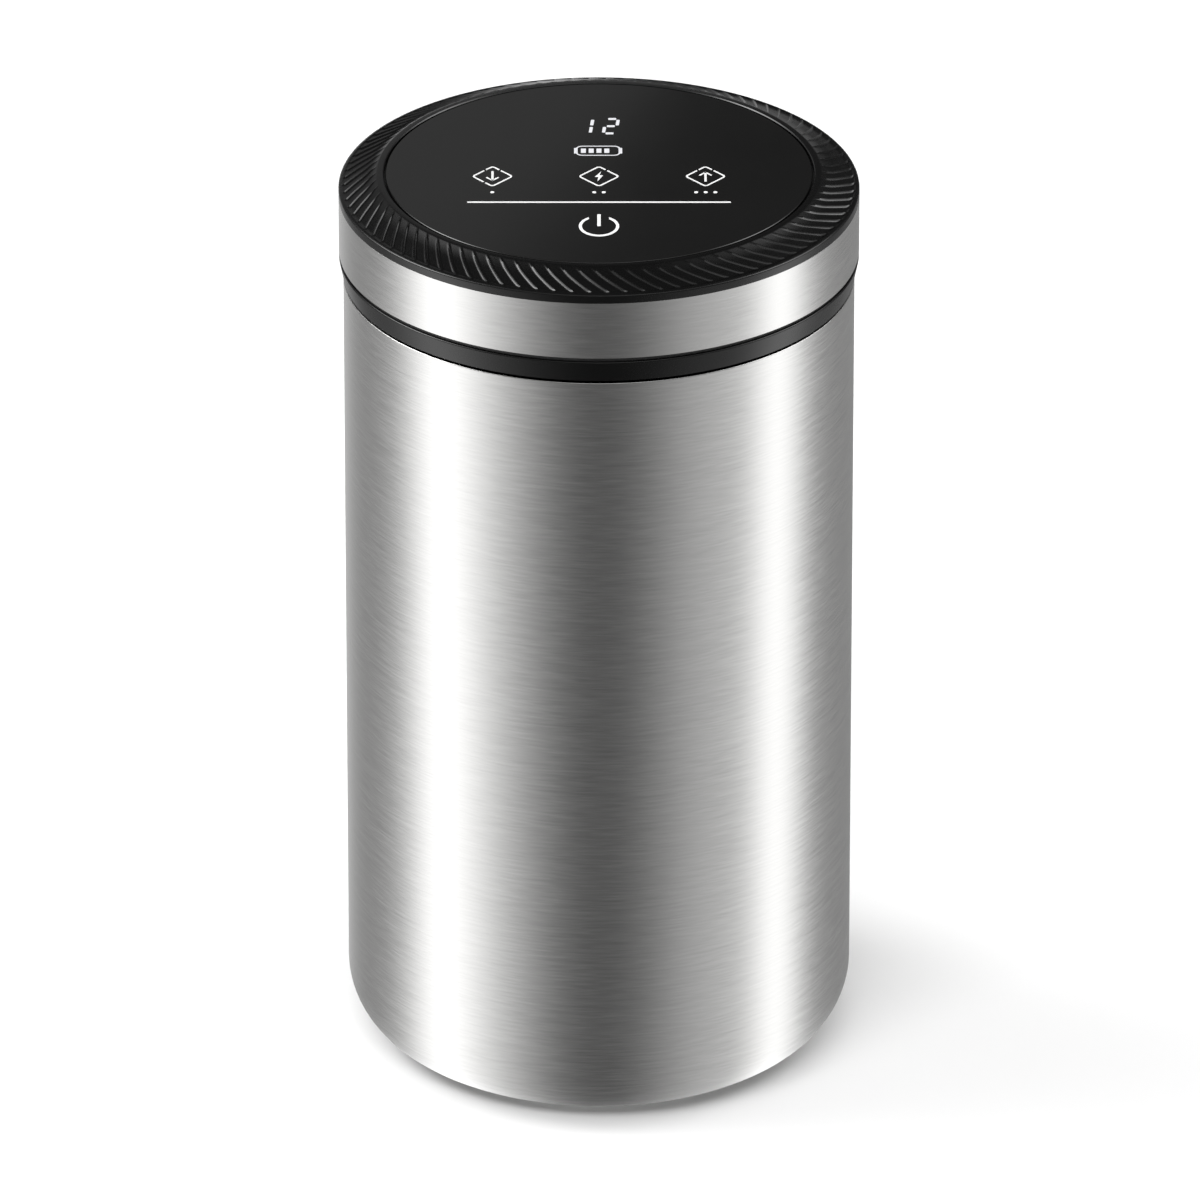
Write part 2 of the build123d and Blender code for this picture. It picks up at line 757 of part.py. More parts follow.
# Strap over the sleeve, with a flat ear at each side
strap_foot_z = pump_z - strap_thickness
with BuildPart() as motor_strap:
    with BuildSketch(Plane.YZ.offset(sleeve_centre_x - strap_width / 2)):
        with Locations((pump_y, pump_z)):
            Circle(trough_radius + strap_thickness)
        with Locations((pump_y, strap_foot_z + strap_thickness / 2)):
            Rectangle(2 * (saddle_half_width + strap_ear), strap_thickness)
        with Locations((pump_y, pump_z)):
            Circle(trough_radius, mode=Mode.SUBTRACT)
        with Locations((pump_y, strap_foot_z - motor_radius)):
            Rectangle(2 * crank_width, 2 * motor_radius, mode=Mode.SUBTRACT)
    extrude(amount=strap_width)
    with BuildSketch(Plane.XY.offset(strap_foot_z)):
        with Locations((sleeve_centre_x, pump_y)):
            with GridLocations(0, 2 * saddle_half_width + strap_ear, 1, 2):
                Circle(small_screw_radius + close_fit)
    extrude(amount=strap_thickness, mode=Mode.SUBTRACT)
keep(motor_strap, "motor_strap")

# Rotor: the shaft, and the eccentric that works the connecting rod
crank_centre_x = motor_front_x + crank_length / 2
with BuildPart() as motor_shaft:
    with BuildSketch(Plane.YZ.offset(motor_front_x - shaft_depth)):
        with Locations((pump_y, pump_z)):
            Circle(shaft_radius)
    extrude(amount=shaft_depth + shaft_reach)
keep(motor_shaft, "motor_shaft")

with BuildPart() as crank_eccentric:
    with BuildSketch(Plane.YZ.offset(crank_centre_x - rod_length / 2)):
        with Locations((pump_y + throw, pump_z)):
            Circle(eccentric_radius)
    extrude(amount=rod_length)
    with BuildSketch(Plane.YZ.offset(crank_centre_x - rod_length / 2)):
        with Locations((pump_y, pump_z)):
            Circle(shaft_radius + running_fit)
    extrude(amount=rod_length, mode=Mode.SUBTRACT)
keep(crank_eccentric, "crank_eccentric")

# Crankcase: a block with a round chamber for the crank and a mouth for the rod
crank_bottom = pump_z - crank_drop
crank_top = pump_z + crank_rise
pump_screw_spacing = crank_width - 2 * pump_screw_inset
pump_screw_run = crank_length - 2 * pump_screw_inset
with BuildPart() as pump_crankcase:
    with BuildSketch(Plane.XY.offset(crank_bottom)):
        with Locations((crank_centre_x, pump_y)):
            RectangleRounded(crank_length, crank_width, edge_break)
    extrude(amount=crank_top - crank_bottom)
    with BuildSketch(Plane.YZ.offset(motor_front_x + crank_wall)):
        with Locations((pump_y, pump_z)):
            Circle(crank_cavity_radius)
    extrude(amount=crank_length - 2 * crank_wall, mode=Mode.SUBTRACT)
    with BuildSketch(Plane.YZ.offset(motor_front_x)):
        with Locations((pump_y, pump_z)):
            Circle(shaft_radius + free_gap)
    extrude(amount=crank_wall, mode=Mode.SUBTRACT)
    with BuildSketch(Plane.XY.offset(pump_z)):
        with Locations((crank_centre_x, pump_y)):
            Circle(crank_mouth_radius)
    extrude(amount=crank_rise, mode=Mode.SUBTRACT)
    with BuildSketch(Plane.XY.offset(crank_top)):
        with Locations((crank_centre_x, pump_y)):
            with GridLocations(pump_screw_run, pump_screw_spacing, 2, 2):
                Circle(small_screw_radius + running_fit)
    extrude(amount=-crank_rise, mode=Mode.SUBTRACT)
keep(pump_crankcase, "pump_crankcase")

# Connecting rod: a ring round the eccentric, a web, and a plate with a stud under the diaphragm
rod_bore = eccentric_radius + 2 * throw + loose_fit
rod_ring_radius = rod_bore + rod_ring_wall
rod_plate_top = crank_top
rod_plate_bottom = rod_plate_top - rod_plate_thickness
diaphragm_top = crank_top + diaphragm_thickness
with BuildPart() as pump_rod:
    with BuildSketch(Plane.YZ.offset(crank_centre_x - rod_length / 2)):
        with Locations((pump_y, pump_z)):
            Circle(rod_ring_radius)
        with Locations((pump_y, (pump_z + rod_plate_top) / 2)):
            Rectangle(rod_web, rod_plate_top - pump_z)
        with Locations((pump_y, pump_z)):
            Circle(rod_bore, mode=Mode.SUBTRACT)
        with Locations((pump_y, rod_plate_top + rod_ring_radius)):
            Rectangle(crank_width, 2 * rod_ring_radius, mode=Mode.SUBTRACT)
    extrude(amount=rod_length)
    with BuildSketch(Plane.XY.offset(rod_plate_bottom)):
        with Locations((crank_centre_x, pump_y)):
            Circle(rod_plate_radius)
    extrude(amount=rod_plate_thickness)
    with BuildSketch(Plane.XY.offset(rod_plate_top)):
        with Locations((crank_centre_x, pump_y)):
            Circle(rod_stud_radius)
    extrude(amount=diaphragm_thickness)
    with BuildSketch(Plane.XY.offset(diaphragm_top)):
        with Locations((crank_centre_x, pump_y)):
            Circle(rod_washer_radius)
    extrude(amount=rod_washer_thickness)
keep(pump_rod, "pump_rod")


# Diaphragm, valve plate and cover share one outline and one set of screw holes
def head_plate(height, hole_radius):
    """Outline of one layer of the pump head at a height, with its four screw holes."""
    with BuildSketch(Plane.XY.offset(height)) as drawing:
        with Locations((crank_centre_x, pump_y)):
            RectangleRounded(crank_length, crank_width, edge_break)
            with GridLocations(pump_screw_run, pump_screw_spacing, 2, 2):
                Circle(hole_radius, mode=Mode.SUBTRACT)
    return drawing.sketch


with BuildPart() as pump_diaphragm:
    extrude(head_plate(crank_top, small_screw_radius + close_fit), amount=diaphragm_thickness)
    with BuildSketch(Plane.XY.offset(crank_top)):
        with Locations((crank_centre_x, pump_y)):
            Circle(diaphragm_hole_radius)
    extrude(amount=diaphragm_thickness, mode=Mode.SUBTRACT)
keep(pump_diaphragm, "pump_diaphragm")

valve_plate_top = diaphragm_top + valve_plate_thickness
with BuildPart() as pump_valve_plate:
    extrude(head_plate(diaphragm_top, small_screw_radius + close_fit), amount=valve_plate_thickness)
    with BuildSketch(Plane.XY.offset(diaphragm_top)):
        with Locations((crank_centre_x, pump_y)):
            Circle(valve_recess_radius)
    extrude(amount=valve_recess_depth, mode=Mode.SUBTRACT)
    with BuildSketch(Plane.XY.offset(diaphragm_top)):
        with Locations((crank_centre_x, pump_y)):
            with GridLocations(0, valve_hole_spacing, 1, 2):
                Circle(valve_hole_radius)
    extrude(amount=valve_plate_thickness, mode=Mode.SUBTRACT)
keep(pump_valve_plate, "pump_valve_plate")

# Pump cover: two chambers under it, each with a nipple towards the manifold's side
cover_top = valve_plate_top + cover_thickness
nipple_z = valve_plate_top + cover_thickness / 2
cover_front_x = crank_centre_x + crank_length / 2
nipple_spacing = 2 * (pump_y - suction_y)
with BuildPart() as pump_cover:
    extrude(head_plate(valve_plate_top, small_screw_radius + close_fit), amount=cover_thickness)
    with BuildSketch(Plane.XY.offset(valve_plate_top)):
        with Locations((crank_centre_x, pump_y)):
            with GridLocations(0, valve_hole_spacing, 1, 2):
                Rectangle(cover_cavity_width, cover_cavity_width - crank_wall)
    extrude(amount=cover_cavity_depth, mode=Mode.SUBTRACT)
    with BuildSketch(Plane.YZ.offset(cover_front_x)):
        with Locations((pump_y, nipple_z)):
            with GridLocations(nipple_spacing, 0, 2, 1):
                Circle(nipple_radius)
    extrude(amount=nipple_length)
    with BuildSketch(Plane.YZ.offset(crank_centre_x)):
        with Locations((pump_y, nipple_z)):
            with GridLocations(nipple_spacing, 0, 2, 1):
                Circle(nipple_bore)
    extrude(amount=crank_length / 2 + nipple_length, mode=Mode.SUBTRACT)
keep(pump_cover, "pump_cover")


def screws(name, places, seat_z, shank_radius, shank_length, head_radius, head_height, turned_down):
    """A group of equal screws: heads stand off the seat, shanks run the other way."""
    sign = 1 if turned_down else -1
    with BuildPart() as group:
        with BuildSketch(Plane.XY.offset(seat_z)):
            with Locations(*places):
                Circle(head_radius)
        extrude(amount=sign * head_height)
        with BuildSketch(Plane.XY.offset(seat_z)):
            with Locations(*places):
                Circle(shank_radius)
        extrude(amount=-sign * shank_length)
    keep(group, name)


post_places = [(x, y) for x in (-post_offset, post_offset) for y in (-post_offset, post_offset)]
strap_screw_y = saddle_half_width + strap_ear / 2
strap_places = [(sleeve_centre_x, pump_y - strap_screw_y), (sleeve_centre_x, pump_y + strap_screw_y)]
pump_places = [
    (crank_centre_x + x * pump_screw_run / 2, pump_y + y * pump_screw_spacing / 2)
    for x in (-1, 1) for y in (-1, 1)
]
head_stack = diaphragm_thickness + valve_plate_thickness + cover_thickness
screws("lid_screws", post_places, post_bottom + post_floor, lid_screw_radius, lid_screw_length,
       lid_screw_head_radius, lid_screw_head, True)
screws("board_screws", board_screw_places, board_bottom, small_screw_radius, small_screw_length,
       small_screw_head_radius, small_screw_head, False)
screws("strap_screws", strap_places, strap_foot_z + strap_thickness, small_screw_radius, small_screw_length,
       small_screw_head_radius, small_screw_head, True)
screws("pump_screws", pump_places, cover_top, small_screw_radius, head_stack + small_screw_length,
       small_screw_head_radius, edge_break, True)

# Manifold: a small chest over the intake port, on a flat seal
manifold_bottom = floor_top + seal_thickness
manifold_top = manifold_bottom + manifold_height
manifold_length = manifold_y_high - manifold_y_low
manifold_y = (manifold_y_high + manifold_y_low) / 2
seat_top = manifold_top + seat_height

with BuildPart() as manifold_seal:
    with BuildSketch(Plane.XY.offset(floor_top)):
        with Locations((port_x, manifold_y)):
            Rectangle(manifold_width, manifold_length)
            Rectangle(manifold_width - 2 * manifold_wall, manifold_length - 2 * manifold_wall, mode=Mode.SUBTRACT)
    extrude(amount=seal_thickness)
keep(manifold_seal, "manifold_seal")

with BuildPart() as valve_manifold:
    with BuildSketch(Plane.XY.offset(manifold_bottom)):
        with Locations((port_x, manifold_y)):
            Rectangle(manifold_width, manifold_length)
    extrude(amount=manifold_height)
    fillet(valve_manifold.edges().filter_by(Axis.Z), edge_break)
    with BuildSketch(Plane.XY.offset(manifold_bottom)):
        with Locations((port_x, manifold_y)):
            Rectangle(manifold_width - 2 * manifold_wall, manifold_length - 2 * manifold_wall)
    extrude(amount=manifold_height - manifold_wall, mode=Mode.SUBTRACT)
    with BuildSketch(Plane.XY.offset(manifold_top)):
        with Locations((port_x, suction_y), (port_x, sensor_y)):
            Circle(nipple_radius)
    extrude(amount=nipple_length)
    with BuildSketch(Plane.XY.offset(manifold_top)):
        with Locations((port_x, release_y)):
            Circle(seat_radius)
    extrude(amount=seat_height)
    with BuildSketch(Plane.XY.offset(manifold_top - manifold_wall)):
        with Locations((port_x, suction_y), (port_x, sensor_y)):
            Circle(nipple_bore)
        with Locations((port_x, release_y)):
            Circle(seat_bore)
    extrude(amount=manifold_wall + nipple_length, mode=Mode.SUBTRACT)
keep(valve_manifold, "valve_manifold")

# Pressure sensor on the underside of the board, with its hose down to the manifold
sensor_bottom = board_bottom - sensor_height
with BuildPart() as pressure_sensor:
    with BuildSketch(Plane.XY.offset(sensor_bottom)):
        with Locations((port_x, sensor_y)):
            Rectangle(sensor_size, sensor_size)
    extrude(amount=sensor_height)
    with BuildSketch(Plane.XY.offset(sensor_bottom)):
        with Locations((port_x, sensor_y)):
            Circle(nipple_radius)
    extrude(amount=-nipple_length)
    with BuildSketch(Plane.XY.offset(sensor_bottom - nipple_length)):
        with Locations((port_x, sensor_y)):
            Circle(nipple_bore)
    extrude(amount=nipple_length, mode=Mode.SUBTRACT)
keep(pressure_sensor, "pressure_sensor")

hose_bore = nipple_radius + close_fit
hose_radius = hose_bore + hose_wall
with BuildPart() as sensor_hose:
    with BuildSketch(Plane.XY.offset(manifold_top)):
        with Locations((port_x, sensor_y)):
            Circle(hose_radius)
            Circle(hose_bore, mode=Mode.SUBTRACT)
    extrude(amount=sensor_bottom - manifold_top)
keep(sensor_hose, "sensor_hose")

# Suction hose: out of the pump cover and down onto the manifold in one bend
with BuildPart() as suction_hose:
    with BuildLine() as hose_line:
        FilletPolyline((cover_front_x, suction_y, nipple_z), (port_x, suction_y, nipple_z),
                       (port_x, suction_y, manifold_top), radius=suction_bend)
    with BuildSketch(Plane.YZ.offset(cover_front_x)):
        with Locations((suction_y, nipple_z)):
            Circle(hose_radius)
            Circle(hose_bore, mode=Mode.SUBTRACT)
    sweep(path=hose_line.wire())
keep(suction_hose, "suction_hose")
print("suction hose radius", suction_bend, "volume", round(suction_hose.part.volume, 1), "section times length",
      round(math.pi * (hose_radius ** 2 - hose_bore ** 2) * hose_line.wire().length, 1))

# Release valve: a solenoid lifts a rubber pad off its seat and lets air back into the can
pad_top = seat_top + pad_thickness
flange_top = pad_top + plunger_flange_thickness
yoke_bottom = flange_top + release_spring_length
coil_bottom = yoke_bottom + yoke_thickness
coil_top = coil_bottom + coil_length
yoke_half_length = coil_radius + free_gap + yoke_thickness

with BuildPart() as release_pad:
    with BuildSketch(Plane.XY.offset(seat_top)):
        with Locations((port_x, release_y)):
            Circle(pad_radius)
    extrude(amount=pad_thickness)
keep(release_pad, "release_pad")

with BuildPart() as release_plunger:
    with BuildSketch(Plane.XY.offset(pad_top)):
        with Locations((port_x, release_y)):
            Circle(plunger_flange_radius)
    extrude(amount=plunger_flange_thickness)
    with BuildSketch(Plane.XY.offset(flange_top)):
        with Locations((port_x, release_y)):
            Circle(plunger_radius)
    extrude(amount=plunger_length)
keep(release_plunger, "release_plunger")

with BuildPart() as release_spring:
    with BuildLine(Plane.XY.offset(flange_top + release_spring_wire / 2)) as wire_line:
        Helix(release_spring_pitch, release_spring_length - release_spring_wire, release_spring_radius,
              center=(port_x, release_y, 0))
    with BuildSketch(Plane(wire_line.line @ 0, z_dir=wire_line.line % 0)):
        RegularPolygon(release_spring_wire / 2, wire_sides)
    sweep(path=wire_line.line, is_frenet=True)
keep(release_spring, "release_spring")

with BuildPart() as solenoid_frame:
    with BuildSketch(Plane.YZ.offset(port_x - yoke_width / 2)):
        with Locations((release_y, (manifold_top + coil_top + yoke_thickness) / 2)):
            Rectangle(2 * yoke_half_length, coil_top + yoke_thickness - manifold_top)
            Rectangle(2 * (yoke_half_length - yoke_thickness), coil_top + yoke_thickness - manifold_top,
                      mode=Mode.SUBTRACT)
        with Locations((release_y, coil_bottom - yoke_thickness / 2), (release_y, coil_top + yoke_thickness / 2)):
            Rectangle(2 * yoke_half_length, yoke_thickness)
    extrude(amount=yoke_width)
    with BuildSketch(Plane.XY.offset(yoke_bottom)):
        with Locations((port_x, release_y)):
            Circle(plunger_radius + free_gap)
    extrude(amount=yoke_thickness, mode=Mode.SUBTRACT)
keep(solenoid_frame, "solenoid_frame")

with BuildPart() as solenoid_coil:
    with BuildSketch(Plane.XY.offset(coil_bottom)):
        with Locations((port_x, release_y)):
            Circle(coil_radius)
            Circle(plunger_radius + free_gap, mode=Mode.SUBTRACT)
    extrude(amount=coil_length)
keep(solenoid_coil, "solenoid_coil")
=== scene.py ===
"""Looks of the vacuum seal canister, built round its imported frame.

Metres, +Z up, origin at the centre of the base. The readable side of the touch panel faces -Y, and
the charging pocket is at the back, +Y.
"""

import json
import logging
import math
from collections.abc import Callable, Iterator
from contextlib import contextmanager
from dataclasses import dataclass
from enum import Enum

import bmesh
import bpy
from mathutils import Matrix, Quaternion, Vector


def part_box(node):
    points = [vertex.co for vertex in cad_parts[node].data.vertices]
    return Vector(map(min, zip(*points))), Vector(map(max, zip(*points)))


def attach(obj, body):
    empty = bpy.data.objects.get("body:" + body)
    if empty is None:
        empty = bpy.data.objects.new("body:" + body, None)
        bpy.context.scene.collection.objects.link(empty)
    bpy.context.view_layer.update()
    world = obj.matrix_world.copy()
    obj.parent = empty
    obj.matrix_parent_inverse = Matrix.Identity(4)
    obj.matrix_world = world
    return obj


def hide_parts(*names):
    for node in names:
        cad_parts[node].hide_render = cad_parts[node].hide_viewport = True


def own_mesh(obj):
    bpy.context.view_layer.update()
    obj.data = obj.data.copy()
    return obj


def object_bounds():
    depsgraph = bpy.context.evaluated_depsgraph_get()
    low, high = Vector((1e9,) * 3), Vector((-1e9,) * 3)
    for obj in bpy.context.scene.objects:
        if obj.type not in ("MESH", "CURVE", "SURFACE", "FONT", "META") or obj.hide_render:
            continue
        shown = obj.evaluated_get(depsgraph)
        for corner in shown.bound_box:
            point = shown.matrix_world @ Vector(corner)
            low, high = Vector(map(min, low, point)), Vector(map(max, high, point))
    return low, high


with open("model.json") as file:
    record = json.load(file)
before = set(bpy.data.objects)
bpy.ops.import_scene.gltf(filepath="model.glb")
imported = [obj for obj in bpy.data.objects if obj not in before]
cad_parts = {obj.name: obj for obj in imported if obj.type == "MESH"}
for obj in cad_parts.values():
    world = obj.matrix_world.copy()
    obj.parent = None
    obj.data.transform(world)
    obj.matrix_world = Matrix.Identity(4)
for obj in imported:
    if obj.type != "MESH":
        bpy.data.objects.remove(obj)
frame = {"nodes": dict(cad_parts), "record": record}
CAD_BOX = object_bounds()

log = logging.getLogger("canister")

MM = 0.001
MERGE = 0.0005 * MM
EDGE_STEPS = 3
Pair = tuple[float, float]
Triple = tuple[float, float, float]
Outline = list[Pair]
Material = bpy.types.Material
Socket = bpy.types.NodeSocket
Thing = bpy.types.Object


# Modelling by operators


def pick(*pieces: Thing) -> None:
    """Leave edit mode and select some pieces alone, or nothing.

    Args:
        pieces: The objects to work on, the active one first.
    """
    if bpy.context.object is not None and bpy.context.object.mode != "OBJECT":
        bpy.ops.object.mode_set(mode="OBJECT")
    bpy.ops.object.select_all(action="DESELECT")
    for piece in pieces:
        piece.select_set(True)
    if pieces:
        bpy.context.view_layer.objects.active = pieces[0]


@contextmanager
def editing(piece: Thing) -> Iterator[None]:
    """Edit a piece, with all of it selected at first.

    Args:
        piece: The object to edit.

    Yields:
        Control while the piece is in edit mode.
    """
    pick(piece)
    bpy.ops.object.mode_set(mode="EDIT")
    bpy.ops.mesh.select_all(action="SELECT")
    yield
    bpy.ops.object.mode_set(mode="OBJECT")


def select_where(piece: Thing, wanted: Callable[[Vector], bool], faces: bool = False) -> None:
    """Select points or faces of a piece in edit mode by their place.

    Args:
        piece: The object that is in edit mode.
        wanted: Says whether a point, or the middle of a face, is selected.
        faces: Whether faces are selected, and not points.
    """
    bpy.ops.mesh.select_mode(type="FACE" if faces else "VERT")
    mesh = bmesh.from_edit_mesh(piece.data)
    for part in mesh.faces if faces else mesh.verts:
        part.select_set(wanted(part.calc_center_median() if faces else part.co))
    mesh.select_flush_mode()
    bmesh.update_edit_mesh(piece.data)


def apply_modifier(piece: Thing, kind: str, **settings: object) -> None:
    """Add a modifier to a piece and apply it at once.

    Args:
        piece: The object that gets it.
        kind: Blender's name for the modifier.
        settings: Its values.
    """
    pick(piece)
    modifier = piece.modifiers.new(kind.lower(), kind)
    for name, value in settings.items():
        setattr(modifier, name, value)
    bpy.ops.object.modifier_apply(modifier=modifier.name)


def face_outwards(piece: Thing) -> None:
    """Merge the doubles of a piece and turn its faces outwards.

    Args:
        piece: A closed shape.
    """
    with editing(piece):
        bpy.ops.mesh.remove_doubles(threshold=MERGE)
        bpy.ops.mesh.normals_make_consistent(inside=False)


def smooth(piece: Thing, crease: float = 30.0, weigh: bool = False) -> None:
    """Shade a piece smooth.

    Args:
        piece: The object.
        crease: Angle in degrees between faces that keep a crease.
        weigh: Whether its large faces set its normals, so that its walls shade straight.
    """
    pick(piece)
    bpy.ops.object.shade_smooth_by_angle(angle=math.radians(crease))
    if weigh:
        apply_modifier(piece, "WEIGHTED_NORMAL", mode="FACE_AREA", keep_sharp=True)


def round_edges(piece: Thing, width: float, over: float = 25.0) -> None:
    """Round the edges of a piece that turn more than an angle.

    Args:
        piece: The object to bevel.
        width: How far the rounding reaches from each edge.
        over: The angle in degrees.
    """
    apply_modifier(piece, "BEVEL", width=width, segments=EDGE_STEPS, limit_method="ANGLE",
                   angle_limit=math.radians(over))


def traced(name: str, places: list[Triple], closed: bool) -> Thing:
    """Draw a chain of edges by extruding one point from place to place.

    Args:
        name: The piece's name.
        places: The chain's corners.
        closed: Whether the last corner joins the first.

    Returns:
        The chain, with its place in its mesh.
    """
    pick()
    bpy.ops.mesh.primitive_plane_add(size=MM, location=places[0])
    piece = settle(bpy.context.object, places[0])
    piece.name = name
    with editing(piece):
        bpy.ops.mesh.select_mode(type="VERT")
        bpy.ops.mesh.merge(type="CENTER")
        for start, end in zip(places, places[1:] + (places[:1] if closed else [])):
            step = tuple(Vector(end) - Vector(start))
            bpy.ops.mesh.extrude_vertices_move(TRANSFORM_OT_translate={"value": step})
        bpy.ops.mesh.select_all(action="SELECT")
        bpy.ops.mesh.remove_doubles(threshold=MERGE)
    return piece


def turned(name: str, outline: Outline, sides: int, closed: bool, rounding: float = 0.0) -> Thing:
    """Turn an outline round the axis.

    Args:
        name: The piece's name.
        outline: Pairs of radius and height. An open one starts and ends on the axis.
        sides: Flats round the piece.
        closed: Whether the last point joins the first.
        rounding: Width of the rounding on its edges, or 0.

    Returns:
        The finished object, with its place in its mesh.
    """
    piece = traced(name, [(radius, 0.0, height) for radius, height in outline], closed)
    apply_modifier(piece, "SCREW", angle=2 * math.pi, steps=sides, render_steps=sides, axis="Z",
                   use_merge_vertices=True, merge_threshold=2 * MERGE)
    face_outwards(piece)
    if rounding > 0.0:
        round_edges(piece, rounding)
    smooth(piece, weigh=rounding > 0.0)
    return piece


def flat_shape(name: str, width: float, length: float, corner: float, steps: int = 6) -> Thing:
    """A flat rectangle with rounded corners, centred on the origin.

    Args:
        name: The piece's name.
        width: Size along X.
        length: Size along Y.
        corner: Radius of its corners.
        steps: Edges on each corner.

    Returns:
        The object, one face in the plane Z = 0.
    """
    pick()
    bpy.ops.mesh.primitive_plane_add(size=1.0)
    piece = bpy.context.object
    piece.name = name
    with editing(piece):
        bpy.ops.transform.resize(value=(width, length, 1.0), center_override=(0.0, 0.0, 0.0))
        bpy.ops.mesh.bevel(offset=corner, segments=steps, affect="VERTICES", offset_type="OFFSET")
    return piece


def settle(piece: Thing, at: Triple, turn: Triple = (0.0, 0.0, 0.0)) -> Thing:
    """Turn and move a piece, and put its place into its mesh.

    Args:
        piece: The object, still at the origin.
        at: Where its origin goes.
        turn: Its turn about X, Y and Z in radians.

    Returns:
        The same object.
    """
    pick(piece)
    piece.rotation_euler = turn
    piece.location = at
    bpy.ops.object.transform_apply(location=True, rotation=True, scale=True)
    return piece


def smooth_copy(node: str, name: str) -> Thing:
    """Copy a CAD node, merge its loose triangles and shade it smooth.

    Args:
        node: The CAD node.
        name: The copy's name.

    Returns:
        The copy, a piece of its own.
    """
    source = frame["nodes"][node]
    piece = source.copy()
    piece.data = source.data.copy()
    piece.parent = None
    for key in list(piece.keys()):
        del piece[key]
    piece.name = name
    bpy.context.scene.collection.objects.link(piece)
    pick(piece)
    bpy.ops.mesh.customdata_custom_splitnormals_clear()
    with editing(piece):
        bpy.ops.mesh.remove_doubles(threshold=MERGE)
    smooth(piece)
    return piece


# Finishes


class Board:
    """A node tree, wired as its nodes are added."""

    def __init__(self, tree: bpy.types.NodeTree) -> None:
        """Start on a tree that has its shader."""
        self.tree = tree

    def add(self, kind: str, **values: object) -> bpy.types.Node:
        """Add a node and set its own properties.

        Args:
            kind: Blender's name for the node.
            values: Its properties.

        Returns:
            The node.
        """
        node = self.tree.nodes.new(kind)
        for name, value in values.items():
            setattr(node, name, value)
        return node

    def link(self, start: Socket, end: Socket) -> None:
        """Wire one socket to another."""
        self.tree.links.new(start, end)

    def between(self, value: Socket, ends: Pair, span: Pair, curve: str = "LINEAR") -> Socket:
        """Spread a value over a range.

        Args:
            value: The socket to spread.
            ends: The results at both ends.
            span: The values that give them.
            curve: Blender's name for the way between them.

        Returns:
            The spread value.
        """
        spread = self.add("ShaderNodeMapRange", interpolation_type=curve)
        for name, number in zip(("From Min", "From Max", "To Min", "To Max"), (*span, *ends)):
            spread.inputs[name].default_value = number
        self.link(value, spread.inputs["Value"])
        return spread.outputs["Result"]


@dataclass(frozen=True)
class Noise:
    """A noise: grains per metre along X, Y and Z, octaves of finer grain, and a shift."""

    per_metre: Triple
    detail: float = 2.0
    start: float = 0.0


def even(per_metre: float, detail: float = 2.0, start: float = 0.0) -> Noise:
    """A noise whose grain is the same along all axes."""
    return Noise((per_metre,) * 3, detail, start)


class FinishBoard(Board):
    """The nodes of one material."""

    def __init__(self, name: str) -> None:
        """Start a material with one Principled shader.

        Args:
            name: The material's name.
        """
        self.material = bpy.data.materials.new(name)
        self.material.use_nodes = True
        super().__init__(self.material.node_tree)
        self.shader = self.tree.nodes["Principled BSDF"]
        self.place = self.add("ShaderNodeTexCoord").outputs["Object"]

    def noise(self, pattern: Noise) -> Socket:
        """Lay a noise on the object's own coordinates.

        Args:
            pattern: The noise.

        Returns:
            Its value.
        """
        mapping = self.add("ShaderNodeMapping")
        mapping.inputs["Scale"].default_value = pattern.per_metre
        mapping.inputs["Location"].default_value = (pattern.start,) * 3
        self.link(self.place, mapping.inputs["Vector"])
        noise = self.add("ShaderNodeTexNoise")
        noise.inputs["Scale"].default_value = 1.0
        noise.inputs["Detail"].default_value = pattern.detail
        self.link(mapping.outputs["Vector"], noise.inputs["Vector"])
        return noise.outputs["Fac"]

    def paint(self, pattern: Socket, colour: Triple, tint: Pair, span: Pair) -> None:
        """Shade the base colour by a pattern.

        Args:
            pattern: The pattern's value.
            colour: The colour.
            tint: Factors of it at the dark end and at the light end.
            span: The pattern's values at both ends.
        """
        mix = self.add("ShaderNodeMix", data_type="RGBA")
        self.link(self.between(pattern, (0.0, 1.0), span), mix.inputs["Factor"])
        for name, factor in zip("AB", tint):
            mix.inputs[name].default_value = (*(min(1.0, part * factor) for part in colour), 1.0)
        self.link(mix.outputs["Result"], self.shader.inputs["Base Color"])

    def fixed(self, **values: float | tuple[float, ...]) -> None:
        """Set values that are the same all over on the shader's own sockets."""
        for name, value in values.items():
            self.shader.inputs[name.replace("_", " ")].default_value = value


